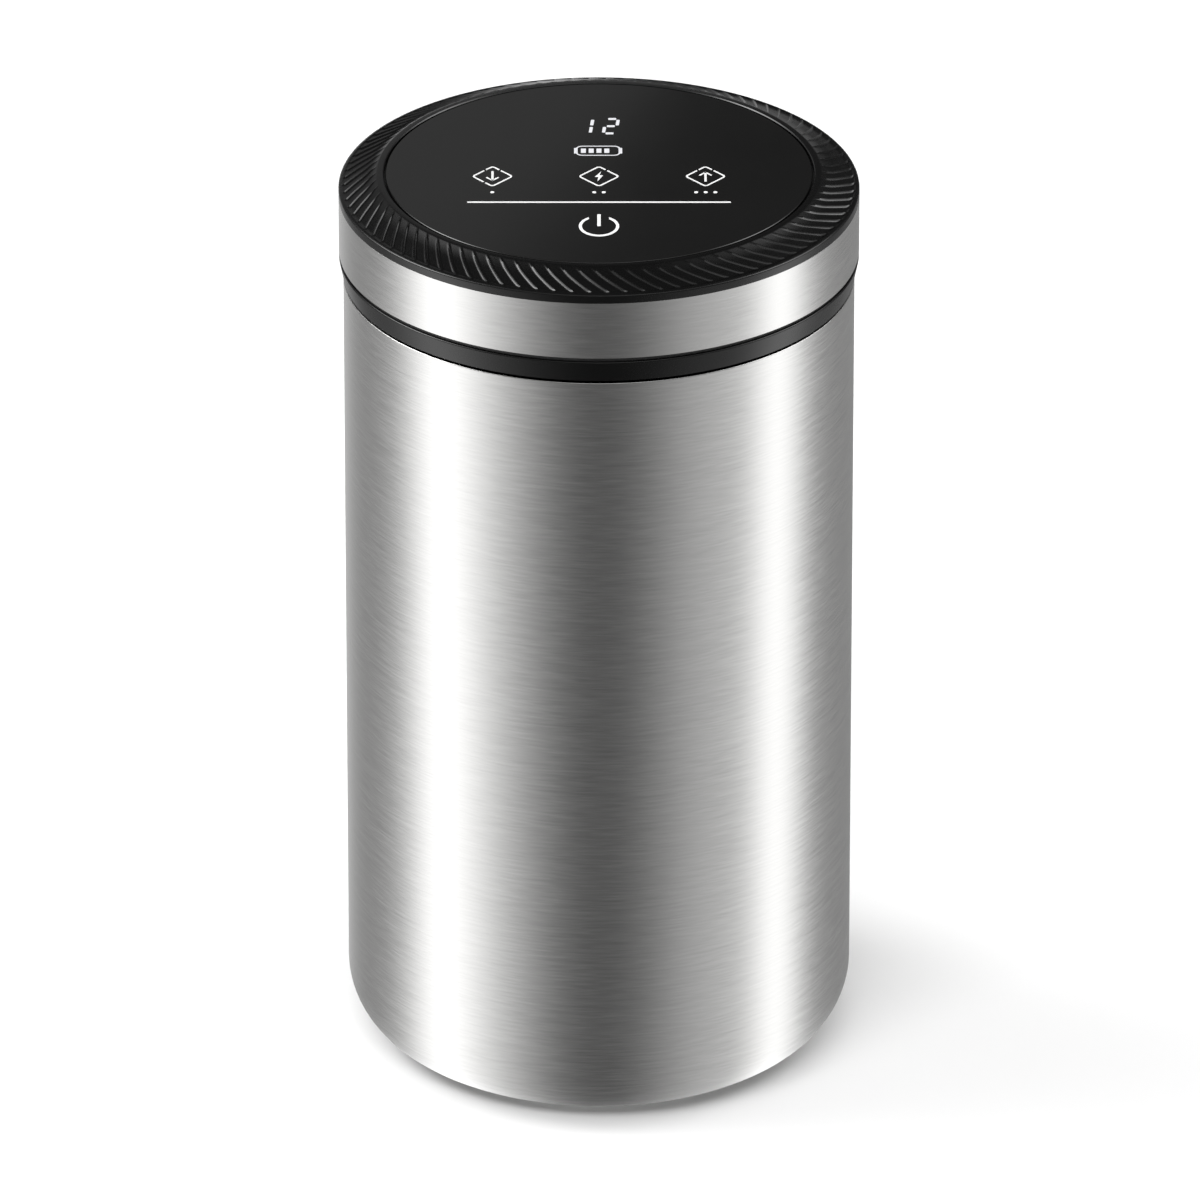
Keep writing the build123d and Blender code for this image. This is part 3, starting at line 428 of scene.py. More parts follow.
@dataclass(frozen=True)
class Finish:
    """What every finish has: a colour, and noises that shade it and vary its gloss.

    Tint and roughness each give two values, at the dark end and at the light end of a pattern, and
    span gives the pattern's own values there. Tint holds factors of the colour.
    """

    name: str
    colour: Triple
    roughness: Pair
    relief: float = 0.0
    tint: Pair = (0.85, 1.15)
    span: Pair = (0.3, 0.7)
    clouds: Noise = even(45.0, 3.0, 3.0)
    grain: Noise | None = None
    grain_share: float = 0.3
    metallic: float = 0.0
    shine: float = 0.5
    see_through: float = 0.0
    glow: float = 0.0

    def patterns(self, board: FinishBoard) -> tuple[Socket, Socket, Socket]:
        """Lay clouds over the colour, and mix them with the grain for the gloss.

        Args:
            board: The material's nodes.

        Returns:
            The patterns of the colour, the roughness and the relief.
        """
        clouds = board.noise(self.clouds)
        if self.grain is None:
            return clouds, clouds, clouds
        grain = board.noise(self.grain)
        mix = board.add("ShaderNodeMix", data_type="FLOAT")
        mix.inputs["Factor"].default_value = self.grain_share
        board.link(clouds, mix.inputs["A"])
        board.link(grain, mix.inputs["B"])
        return clouds, mix.outputs["Result"], grain

    def material(self) -> Material:
        """Build the finish's nodes.

        Returns:
            The material.
        """
        board = FinishBoard(self.name)
        shading, gloss, height = self.patterns(board)
        board.paint(shading, self.colour, self.tint, self.span)
        board.link(board.between(gloss, self.roughness, self.span), board.shader.inputs["Roughness"])
        if self.relief > 0.0:
            bump = board.add("ShaderNodeBump")
            bump.inputs["Distance"].default_value = self.relief
            board.link(height, bump.inputs["Height"])
            board.link(bump.outputs["Normal"], board.shader.inputs["Normal"])
        board.fixed(Metallic=self.metallic, Specular_IOR_Level=self.shine)
        if self.see_through > 0.0:
            board.fixed(Subsurface_Weight=self.see_through, Subsurface_Scale=MM)
        if self.glow > 0.0:
            board.fixed(Emission_Color=(1.0, 1.0, 1.0, 1.0), Emission_Strength=self.glow)
        return board.material


@dataclass(frozen=True)
class BrushedSteel(Finish):
    """Stainless steel brushed round the axis: fine level streaks that smear highlights upright."""

    colour: Triple = (0.62, 0.618, 0.61)
    roughness: Pair = (0.2, 0.25)
    relief: float = 0.002 * MM
    tint: Pair = (0.9, 1.05)
    clouds: Noise = Noise((50.0, 50.0, 900.0), 2.0, 7.0)
    grain: Noise = Noise((150.0, 150.0, 3100.0), 3.0)
    grain_share: float = 0.7
    metallic: float = 1.0
    stretch: float = 0.8

    def patterns(self, board: FinishBoard) -> tuple[Socket, Socket, Socket]:
        """Let the mixed streaks shade the colour too, and stretch the highlights across them.

        Args:
            board: The material's nodes.

        Returns:
            The patterns of the colour, the roughness and the relief.
        """
        _, streaks, fine = super().patterns(board)
        board.fixed(Anisotropic=self.stretch)
        tangent = board.add("ShaderNodeTangent", direction_type="RADIAL", axis="Z")
        board.link(tangent.outputs["Tangent"], board.shader.inputs["Tangent"])
        return streaks, streaks, fine


@dataclass(frozen=True)
class MouldedPlastic(Finish):
    """Plastic or rubber from a mould: fine even grain, with faint cloudy change of gloss."""

    relief: float = 0.004 * MM
    grain: Noise = even(2200.0)


@dataclass(frozen=True)
class PlatedMetal(Finish):
    """Turned or plated metal with fine tool marks."""

    roughness: Pair = (0.16, 0.32)
    relief: float = 0.003 * MM
    tint: Pair = (0.88, 1.08)
    clouds: Noise = even(1500.0, 3.0)
    metallic: float = 1.0


@dataclass(frozen=True)
class Winding(Finish):
    """Enamelled copper wire wound in level turns, its colour darkened between the turns as painted shade."""

    colour: Triple = (0.7, 0.35, 0.18)
    roughness: Pair = (0.45, 0.25)
    relief: float = 0.06 * MM
    # The colour falls to 0.35 of itself in the grooves between turns: painted shade.
    tint: Pair = (0.35, 1.0)
    span: Pair = (0.0, 1.0)
    metallic: float = 1.0
    turn_pitch: float = 0.3 * MM
    wave_rate: float = 20.0

    def patterns(self, board: FinishBoard) -> tuple[Socket, Socket, Socket]:
        """Lay the turns of the wire. At scale 1 the wave node runs wave_rate radians a metre.

        Args:
            board: The material's nodes.

        Returns:
            The turns, for the colour, which they darken in the grooves as painted shade, the roughness and
            the relief.
        """
        wave = board.add("ShaderNodeTexWave", wave_type="BANDS", bands_direction="Z")
        wave.inputs["Scale"].default_value = 2 * math.pi / (self.wave_rate * self.turn_pitch)
        board.link(board.place, wave.inputs["Vector"])
        return (wave.outputs["Fac"],) * 3


@dataclass(frozen=True)
class PanelGloss(Finish):
    """The touch panel's dark sheet: nearly even gloss with the faint clouds of a wiped surface."""

    colour: Triple = (0.0035, 0.0035, 0.0034)
    roughness: Pair = (0.17, 0.22)
    tint: Pair = (0.9, 1.1)
    clouds: Noise = even(28.0, 4.0)
    grain: Noise = Noise((160.0, 18.0, 18.0), 2.0, 5.0)
    grain_share: float = 0.4


@dataclass(frozen=True)
class MarkInk(Finish):
    """White marks on the panel: printed ink, or lit from behind by a glow."""

    colour: Triple = (0.7, 0.7, 0.7)
    roughness: Pair = (0.4, 0.55)
    tint: Pair = (0.94, 1.04)
    clouds: Noise = even(900.0)


class Slot(Enum):
    """The record's material slots, each with its finish."""

    brushed_can = BrushedSteel("brushed_can")
    brushed_band = BrushedSteel(
        "brushed_band", tint=(0.93, 1.035), grain=Noise((150.0, 150.0, 3500.0), 3.0))
    satin_black = MouldedPlastic("satin_black", (0.0012, 0.0012, 0.0012), (0.24, 0.31))
    collar_black = MouldedPlastic("collar_black", (0.0007, 0.0007, 0.0007), (0.24, 0.31), shine=0.4)
    panel_black = PanelGloss("panel_black")
    housing_black = MouldedPlastic("housing_black", (0.02, 0.02, 0.02), (0.42, 0.55))
    silicone = MouldedPlastic("silicone", (0.3, 0.3, 0.3), (0.5, 0.62), grain=even(1200.0), see_through=0.2)
    silicone_clear = MouldedPlastic(
        "silicone_clear", (0.75, 0.75, 0.72), (0.35, 0.5), grain=even(900.0), see_through=0.4)
    foam = MouldedPlastic(
        "foam", (0.62, 0.62, 0.6), (0.85, 1.0), 0.15 * MM, clouds=even(300.0, 3.0, 3.0), grain=even(1500.0))
    cap_grey = MouldedPlastic("cap_grey", (0.05, 0.05, 0.05), (0.4, 0.52))
    board_green = MouldedPlastic("board_green", (0.02, 0.16, 0.07), (0.3, 0.42), grain=even(700.0))
    display_black = MouldedPlastic("display_black", (0.015, 0.015, 0.015), (0.2, 0.3))
    steel = PlatedMetal("steel", (0.6, 0.6, 0.59))
    cell_wrap = MouldedPlastic("cell_wrap", (0.05, 0.2, 0.45), (0.25, 0.36), grain=even(500.0))
    pump_white = MouldedPlastic("pump_white", (0.75, 0.75, 0.73), (0.4, 0.52))
    brass = PlatedMetal("brass", (0.7, 0.55, 0.25))
    coil_copper = Winding("coil_copper")


class Finishes:
    """Every finish as a material, made once."""

    def __init__(self) -> None:
        """Build all the slots' materials, and the panel's two inks."""
        self.by_slot = {slot.name: slot.value.material() for slot in Slot}
        self.ink = MarkInk("mark_ink").material()
        self.lamp = MarkInk("mark_lamp", (0.3, 0.305, 0.33), glow=0.42).material()

    def place(self, piece: Thing, body: str, slot: Slot, *nodes: str, ink: Material | None = None) -> None:
        """Give a finished piece its slot's material or its own ink, put it on its body and hide the nodes it
        stands for.

        Args:
            piece: The finished object.
            body: The CAD body it moves with.
            slot: The record's material slot.
            nodes: The CAD nodes that it replaces.
            ink: Its material, where that isn't the slot's own.
        """
        piece.data.materials.clear()
        piece.data.materials.append(ink or self.by_slot[slot.name])
        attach(piece, body)
        if nodes:
            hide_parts(*nodes)
        log.info("%s: %d faces, rides on %s", piece.name, len(piece.data.polygons), body)

    def dress_frame(self) -> None:
        """Give every CAD node the procedural finish of its slot."""
        for entry in frame["record"]["subparts"]:
            for holder in frame["nodes"][entry["node"]].material_slots:
                holder.material = self.by_slot[entry["material_slot"]]
        log.info("dressed %d CAD nodes", len(frame["nodes"]))


# The canister's sub-assemblies


@dataclass(frozen=True)
class Lines:
    """Radii and heights that the sub-assemblies share, read from the frame."""

    collar_flare: float = 1.0 * MM
    neck_step: float = 2.0 * MM
    sheet: float = 0.7 * MM
    lid_radius: float = min(*CAD_BOX[1][:2], -CAD_BOX[0][0], -CAD_BOX[0][1])
    body_radius: float = lid_radius - collar_flare
    neck_radius: float = body_radius - neck_step
    top: float = CAD_BOX[1][2]
    ring_bottom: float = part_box("ribbed_ring")[0].z
    band_bottom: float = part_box("lid_band")[0].z
    collar_top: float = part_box("mouth_collar")[1].z
    collar_bottom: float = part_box("mouth_collar")[0].z
    rim_top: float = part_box("container_body")[1].z


@dataclass
class Can:
    """The drawn steel can and the black collar that caps its rim."""

    lines: Lines
    sides: int = 256
    corner_radius: float = 17.0 * MM
    corner_steps: int = 20
    shoulder_drop: float = 0.7 * MM
    foot_width: float = 6.0 * MM
    recess_depth: float = 2.0 * MM
    recess_slope: float = 3.0 * MM
    sheet_rounding: float = 0.16 * MM
    collar_edge: float = 0.25 * MM
    collar_fit: float = 0.1 * MM
    collar_rounding: float = 0.12 * MM

    def half_wall(self, inset: float) -> Outline:
        """One face of the sheet from the axis up to the rim.

        Args:
            inset: How far it lies inside the outer face.

        Returns:
            Its points, from the middle of the base.
        """
        lines = self.lines
        foot_outer = lines.body_radius - self.corner_radius
        foot_inner = foot_outer - self.foot_width
        bend = self.corner_radius - inset
        points = [
            (0.0, self.recess_depth + inset),
            (foot_inner - self.recess_slope, self.recess_depth + inset),
            (foot_inner, inset),
            (foot_outer, inset),
        ]
        for step in range(1, self.corner_steps + 1):
            angle = math.pi / 2 * step / self.corner_steps
            points.append((foot_outer + bend * math.sin(angle), self.corner_radius - bend * math.cos(angle)))
        return points + [
            (lines.body_radius - inset, lines.collar_bottom - self.shoulder_drop),
            (lines.neck_radius - inset, lines.collar_bottom),
            (lines.neck_radius - inset, lines.rim_top),
        ]

    def build_can(self) -> Thing:
        """Turn the sheet, both faces and the rim."""
        outline = self.half_wall(0.0) + self.half_wall(self.lines.sheet)[::-1]
        return turned("drawn_can", outline, self.sides, False, self.sheet_rounding)

    def build_collar(self) -> Thing:
        """Turn the collar, which widens from the can to the lid.

        Returns:
            The collar.
        """
        lines = self.lines
        mouth = lines.neck_radius - lines.sheet
        outline = [
            (lines.neck_radius + self.collar_fit, lines.collar_bottom),
            (lines.body_radius, lines.collar_bottom),
            (lines.lid_radius, lines.collar_top - self.collar_edge),
            (lines.lid_radius - self.collar_edge, lines.collar_top),
            (mouth, lines.collar_top),
            (mouth, lines.rim_top),
            (lines.neck_radius + self.collar_fit, lines.rim_top),
        ]
        return turned("rim_collar", outline, self.sides, True, self.collar_rounding)

    def dress(self, finishes: Finishes) -> None:
        """Build both pieces and place them on the canister."""
        finishes.place(self.build_can(), "canister", Slot.brushed_can, "container_body")
        finishes.place(self.build_collar(), "canister", Slot.collar_black, "mouth_collar")


@dataclass
class Band:
    """The brushed hoop round the lid, with a window for the charging plug."""

    lines: Lines
    sides: int = 256
    wall: float = 0.55 * MM
    rounding: float = 0.2 * MM
    rounded_over: float = 40.0
    window_width: float = 12.6 * MM
    window_height: float = 6.6 * MM
    window_depth: float = 8.0 * MM
    window_corner_share: float = 0.499
    window_steps: int = 12

    def build(self) -> Thing:
        """Turn the hoop and cut the plug's window through its back.

        Returns:
            The hoop.
        """
        lines = self.lines
        inner = lines.lid_radius - self.wall
        outline = [
            (inner, lines.band_bottom),
            (lines.lid_radius, lines.band_bottom),
            (lines.lid_radius, lines.ring_bottom),
            (inner, lines.ring_bottom),
        ]
        hoop = turned("brushed_hoop", outline, self.sides, True)
        corner = self.window_height * self.window_corner_share
        cutter = flat_shape("cutter", self.window_width, self.window_height, corner, self.window_steps)
        apply_modifier(cutter, "SOLIDIFY", thickness=self.window_depth, offset=0.0)
        middle = (lines.band_bottom + lines.ring_bottom) / 2
        settle(cutter, (0.0, lines.lid_radius, middle), (math.pi / 2, 0.0, 0.0))
        face_outwards(cutter)
        apply_modifier(hoop, "BOOLEAN", operation="DIFFERENCE", object=cutter, solver="EXACT")
        bpy.data.objects.remove(cutter)
        round_edges(hoop, self.rounding, self.rounded_over)
        smooth(hoop, weigh=True)
        return hoop

    def dress(self, finishes: Finishes) -> None:
        """Build the hoop and place it on the lid."""
        finishes.place(self.build(), "lid", Slot.brushed_band, "lid_band")


@dataclass
class SwirlRing:
    """The black ring: a plain lip, a swirl of slanted ribs on the slope, a border and a wall.

    Depth shares say how much of the valleys' depth is reached at a crest, one column from it, and
    so on, and the last holds for all columns further away.
    """

    lines: Lines
    wall_height: float = 2.1 * MM
    corner: float = 0.45 * MM
    corner_steps: int = 4
    bore_radius: float = 49.6 * MM
    bore_break: float = 0.2 * MM
    lip_radius: float = 51.0 * MM
    seat_radius: float = 52.5 * MM
    seat_height: float = 3.4 * MM
    step_radius: float = 56.6 * MM
    step_height: float = 1.8 * MM
    rib_inner: float = 51.2 * MM
    rib_outer: float = 59.15 * MM
    rib_count: int = 90
    sweep: float = math.radians(8.8)
    rows: int = 20
    columns: int = 12
    depth_shares: tuple[float, ...] = (0.0, 0.78, 1.0)
    valley_depth: float = 0.45 * MM
    inner_ramp: float = 3.4 * MM
    outer_ramp: float = 0.9 * MM
    end_wall: float = 0.2 * MM
    corner_reach_share: float = 1.5
    crease: float = 66.0

    def height(self, radius: float) -> float:
        """Height of the sloping face.

        Args:
            radius: Distance from the axis.

        Returns:
            The height there.
        """
        run = self.lines.lid_radius - self.corner - self.lip_radius
        rise = self.lines.top - self.lines.ring_bottom - self.wall_height
        return self.lines.top - (radius - self.lip_radius) * rise / run

    def row_radii(self) -> list[float]:
        """Radii of the rows of points across the ribs.

        Returns:
            The radii from the inside out, ends included.
        """
        inner, outer = self.rib_inner + self.end_wall, self.rib_outer - self.end_wall
        between = [inner + (outer - inner) * row / self.rows for row in range(self.rows + 1)]
        return [self.rib_inner, *between, self.rib_outer]

    def outline(self) -> Outline:
        """The ring's section.

        Returns:
            Its points, with one for every row of the ribs.
        """
        lines = self.lines
        wall_top = lines.ring_bottom + self.wall_height
        low = Vector((lines.lid_radius, wall_top - self.corner))
        high = Vector((lines.lid_radius - self.corner, wall_top))
        bend = Vector((lines.lid_radius, self.height(lines.lid_radius)))
        corner = []
        for step in range(self.corner_steps + 1):
            share = step / self.corner_steps
            corner.append(tuple(low.lerp(bend, share).lerp(bend.lerp(high, share), share)))
        inside = lines.lid_radius - self.corner - self.end_wall
        seat, ledge = lines.ring_bottom + self.seat_height, lines.ring_bottom + self.step_height
        return [
            (self.step_radius, lines.ring_bottom),
            (lines.lid_radius, lines.ring_bottom),
            *corner,
            (inside, self.height(inside)),
            *[(radius, self.height(radius)) for radius in reversed(self.row_radii())],
            (self.lip_radius, lines.top),
            (self.bore_radius + self.bore_break, lines.top),
            (self.bore_radius, lines.top - self.bore_break),
            (self.bore_radius, seat),
            (self.seat_radius, seat),
            (self.seat_radius, ledge),
            (self.step_radius, ledge),
        ]

    def on_slope(self, point: Vector, beyond: float) -> bool:
        """Whether a point is on the slope, further out than a radius, or on the outer wall.

        Args:
            point: A point of the ring.
            beyond: The radius.

        Returns:
            True if it is.
        """
        radius, past = math.hypot(point.x, point.y), self.corner * self.corner_reach_share
        above = radius > beyond and point.z > self.height(radius) - self.valley_depth / 2
        return above or radius > self.lines.lid_radius - past

    def from_crest(self, point: Vector, row: float) -> int:
        """How many columns a point of one row lies from the nearest crest.

        Args:
            point: A point of the ring.
            row: The row's radius.

        Returns:
            The number of columns, at most that of the last depth share, or -1 off the row.
        """
        radius = math.hypot(point.x, point.y)
        quarter_row = (self.rib_outer - self.rib_inner) / self.rows / 4
        if abs(radius - row) > quarter_row or point.z < self.height(radius) - self.end_wall:
            return -1
        along = (radius - self.rib_inner) / (self.rib_outer - self.rib_inner)
        angle = math.atan2(point.y, point.x) - self.sweep * along
        column = round(angle / (2 * math.pi) * self.rib_count * self.columns) % self.columns
        return min(column, self.columns - column, len(self.depth_shares) - 1)

    def twist(self, ring: Thing) -> None:
        """Turn each row of the slope a little further than the one inside it.

        Args:
            ring: The ring, in edit mode.
        """
        radii = self.row_radii()
        for inner, outer in zip(radii, radii[1:]):
            turn = self.sweep * (outer - inner) / (self.rib_outer - self.rib_inner)
            select_where(ring, lambda point: self.on_slope(point, (inner + outer) / 2))
            bpy.ops.transform.rotate(value=-turn, orient_axis="Z", center_override=(0.0, 0.0, 0.0))

    def sink_valleys(self, ring: Thing) -> None:
        """Lower the columns between the ribs, so that thin ribs stand out of the slope.

        Args:
            ring: The ring, in edit mode.
        """
        for row in self.row_radii()[1:-1]:
            inside = min(1.0, (row - self.rib_inner) / self.inner_ramp)
            outside = min(1.0, (self.rib_outer - row) / self.outer_ramp)
            depth = self.valley_depth * math.sin(math.pi / 2 * min(inside, outside))
            for away, share in enumerate(self.depth_shares):
                select_where(ring, lambda point: self.from_crest(point, row) == away)
                if share > 0.0:
                    bpy.ops.transform.translate(value=(0.0, 0.0, -depth * share))

    def build(self) -> Thing:
        """Turn the ring, twist its rows and sink its valleys.

        Returns:
            The ring.
        """
        ring = turned("swirl_ring", self.outline(), self.rib_count * self.columns, True)
        with editing(ring):
            self.twist(ring)
            self.sink_valleys(ring)
        smooth(ring, self.crease)
        return ring

    def dress(self, finishes: Finishes) -> None:
        """Build the ring and place it on the lid."""
        finishes.place(self.build(), "lid", Slot.satin_black, "ribbed_ring")


@dataclass
class TouchPanel:
    """The dark sheet in the middle of the lid."""

    lines: Lines
    radius: float = 49.1 * MM
    thickness: float = 1.8 * MM
    edge: float = 0.18 * MM
    edge_rounding: float = 0.06 * MM
    mark_height: float = 0.04 * MM
    sides: int = 256

    def build(self) -> Thing:
        """Turn the sheet with its broken edge.

        Returns:
            The sheet.
        """
        top = self.lines.top - self.mark_height
        bottom = self.lines.top - self.thickness
        outline = [
            (0.0, bottom),
            (self.radius, bottom),
            (self.radius, top - self.edge),
            (self.radius - self.edge, top),
            (0.0, top),
        ]
        return turned("panel_sheet", outline, self.sides, False, self.edge_rounding)

    def dress(self, finishes: Finishes) -> None:
        """Build the sheet and place it on the lid."""
        finishes.place(self.build(), "lid", Slot.panel_black, "touch_panel")


def hollow(piece: Thing, stroke: float) -> None:
    """Leave only a line round the edge of a flat shape.

    Args:
        piece: A shape of one face.
        stroke: The line's width.
    """
    with editing(piece):
        bpy.ops.mesh.inset(thickness=stroke, depth=0.0)
        bpy.ops.mesh.delete(type="FACE")


def cut_gap(piece: Thing, centre: Triple, angle: float, width: float) -> None:
    """Cut a gap out of a line that runs round a centre.

    Args:
        piece: The hollow shape.
        centre: What it runs round.
        angle: Direction of the gap's middle from the centre, in degrees.
        width: Width of the gap.
    """
    out = Vector((math.cos(math.radians(angle)), math.sin(math.radians(angle)), 0.0))
    side = Vector((-out.y, out.x, 0.0))
    middle = Vector(centre)
    with editing(piece):
        for sign in (-1, 1):
            bpy.ops.mesh.select_all(action="SELECT")
            bpy.ops.mesh.bisect(plane_co=middle + side * sign * width / 2, plane_no=side)
        select_where(
            piece, lambda at: (at - middle).dot(out) > 0 and abs((at - middle).dot(side)) < width / 2, True)
        bpy.ops.mesh.delete(type="FACE")


@dataclass
class PanelMarks:
    """Flat white marks on the panel, printed or lit."""

    lines: Lines
    film: float = 0.05 * MM
    bar_steps: int = 4

    def bar(self, start: Pair, end: Pair, width: float, rounding: float = 0.3) -> Thing:
        """A straight stroke between two places on the panel.

        Args:
            start: Where its middle line starts.
            end: Where it ends.
            width: Its width.
            rounding: Corner radius as a share of the width.

        Returns:
            The stroke, still flat.
        """
        run, rise = end[0] - start[0], end[1] - start[1]
        piece = flat_shape("stroke", math.hypot(run, rise), width, width * rounding, self.bar_steps)
        middle = ((start[0] + end[0]) / 2, (start[1] + end[1]) / 2, self.lines.top)
        return settle(piece, middle, (0.0, 0.0, math.atan2(rise, run)))

    def post(self, x: float, middle: float, half: float, width: float, rounding: float) -> Thing:
        """A stroke from front to back, by its middle and half its length."""
        return self.bar((x, middle - half), (x, middle + half), width, rounding)

    def finish(self, name: str, marks: list[Thing]) -> Thing:
        """Join marks and give them the thickness of a film, its top level with the lid's.

        Args:
            name: The name of the piece.
            marks: The flat marks.

        Returns:
            The piece.
        """
        pick(*marks)
        bpy.ops.object.join()
        piece = marks[0]
        piece.name = name
        apply_modifier(piece, "SOLIDIFY", thickness=self.film, offset=-1.0)
        face_outwards(piece)
        return piece


@dataclass
class KeyMarks(PanelMarks):
    """The printed marks: three keys in diamonds, each with its dots, a line and a power key."""

    key_spacing: float = 24.5 * MM
    key_row: float = -2.3 * MM
    diamond_width: float = 9.75 * MM
    diamond_length: float = 11.5 * MM
    diamond_corner: float = 0.9 * MM
    diamond_gap: float = 0.6 * MM
    gap_angles: tuple[tuple[float, ...], ...] = ((117.0, 63.0, 241.0), (63.0,), (117.0, 63.0))
    stroke: float = 0.42 * MM
    arrow_shift: float = 0.2 * MM
    arrow_foot: float = 2.6 * MM
    arrow_tip: float = 2.4 * MM
    arrow_width: float = 0.52 * MM
    blunt_share: float = 0.1
    barb_reach: float = 1.4 * MM
    barb_drop: float = 1.7 * MM
    barb_width: float = 0.44 * MM
    barb_over: Pair = (0.12 * MM, 0.2 * MM)
    bolt_corners: tuple[Pair, ...] = (
        (0.5, 2.7), (-0.95, -0.35), (-0.12, -0.35), (-0.36, -2.7), (0.95, 0.55), (0.12, 0.55))
    dots_row: float = -11.0 * MM
    dot_radius: float = 0.45 * MM
    dot_length_share: float = 1.2
    dot_corner_share: float = 0.98
    dot_spacing: float = 2.2 * MM
    rule_row: float = -16.4 * MM
    rule_length: float = 60.4 * MM
    rule_width: float = 0.68 * MM
    power_middle: float = -29.4 * MM
    power_sides: int = 96
    power_radius: float = 4.62 * MM
    power_length_share: float = 1.2
    power_stroke: float = 0.72 * MM
    power_gap: float = 4.6 * MM
    power_gap_angle: float = 90.0
    power_bar: float = 6.4 * MM
    power_bar_width: float = 0.78 * MM
    power_blunt_share: float = 0.08

    def diamond(self, x: float, gaps: tuple[float, ...]) -> Thing:
        """Draw the line round a key.

        Args:
            x: The key's place along the row.
            gaps: Directions of its gaps, in degrees.

        Returns:
            The line.
        """
        side = self.diamond_width / math.sqrt(2)
        piece = flat_shape("diamond", side, side, self.diamond_corner)
        settle(piece, (0.0, 0.0, 0.0), (0.0, 0.0, math.pi / 4))
        hollow(piece, self.stroke)
        piece.scale = (1.0, self.diamond_length / self.diamond_width, 1.0)
        middle = (x, self.key_row, self.lines.top)
        settle(piece, middle)
        for angle in gaps:
            cut_gap(piece, middle, angle, self.diamond_gap)
        return piece

    def arrow(self, x: float, sign: int) -> list[Thing]:
        """Draw an arrow in a key.

        Args:
            x: The key's place along the row.
            sign: 1 if it points to the back of the panel, or -1.

        Returns:
            Its shaft and its two barbs.
        """
        row = self.key_row - sign * self.arrow_shift
        tip = row + sign * self.arrow_tip
        strokes = [self.bar((x, row - sign * self.arrow_foot), (x, tip), self.arrow_width, self.blunt_share)]
        across, past = self.barb_over
        for side in (-1, 1):
            outer = (x + side * self.barb_reach, tip - sign * self.barb_drop)
            strokes.append(self.bar(outer, (x - side * across, tip + sign * past), self.barb_width))
        return strokes

    def bolt(self) -> Thing:
        """Draw the middle key's bolt from its corners, in millimetres from the key's middle.

        Returns:
            The bolt.
        """
        places = [(x * MM, self.key_row + y * MM, self.lines.top) for x, y in self.bolt_corners]
        piece = traced("bolt", places, True)
        with editing(piece):
            bpy.ops.mesh.edge_face_add()
        return piece

    def dots(self, x: float, count: int) -> list[Thing]:
        """Number a key with a row of dots.

        Args:
            x: The key's place along the row.
            count: How many dots.

        Returns:
            The dots.
        """
        width, corner = 2 * self.dot_radius, self.dot_radius * self.dot_corner_share
        row = []
        for place in range(count):
            across = x + (place - (count - 1) / 2) * self.dot_spacing
            piece = flat_shape("dot", width, width * self.dot_length_share, corner)
            row.append(settle(piece, (across, self.dots_row, self.lines.top)))
        return row

    def power_key(self) -> list[Thing]:
        """Draw the power key.

        Returns:
            Its open circle and its bar.
        """
        pick()
        bpy.ops.mesh.primitive_circle_add(
            vertices=self.power_sides, radius=self.power_radius, fill_type="NGON")
        circle = bpy.context.object
        hollow(circle, self.power_stroke)
        circle.scale = (1.0, self.power_length_share, 1.0)
        middle = (0.0, self.power_middle, self.lines.top)
        settle(circle, middle)
        cut_gap(circle, middle, self.power_gap_angle, self.power_gap)
        half = self.power_bar / 2
        bar = self.post(0.0, self.power_middle + half, half, self.power_bar_width, self.power_blunt_share)
        return [circle, bar]

    def dress(self, finishes: Finishes) -> None:
        """Draw the marks and place them on the lid.

        Args:
            finishes: The materials.
        """
        places = (-self.key_spacing, 0.0, self.key_spacing)
        marks = [self.diamond(x, gaps) for x, gaps in zip(places, self.gap_angles)]
        marks += [*self.arrow(places[0], -1), self.bolt(), *self.arrow(places[2], 1)]
        for count, x in enumerate(places, 1):
            marks += self.dots(x, count)
        start, end = ((side * self.rule_length / 2, self.rule_row) for side in (-1, 1))
        marks += [self.bar(start, end, self.rule_width, self.blunt_share), *self.power_key()]
        finishes.place(self.finish("key_marks", marks), "lid", Slot.panel_black, ink=finishes.ink)


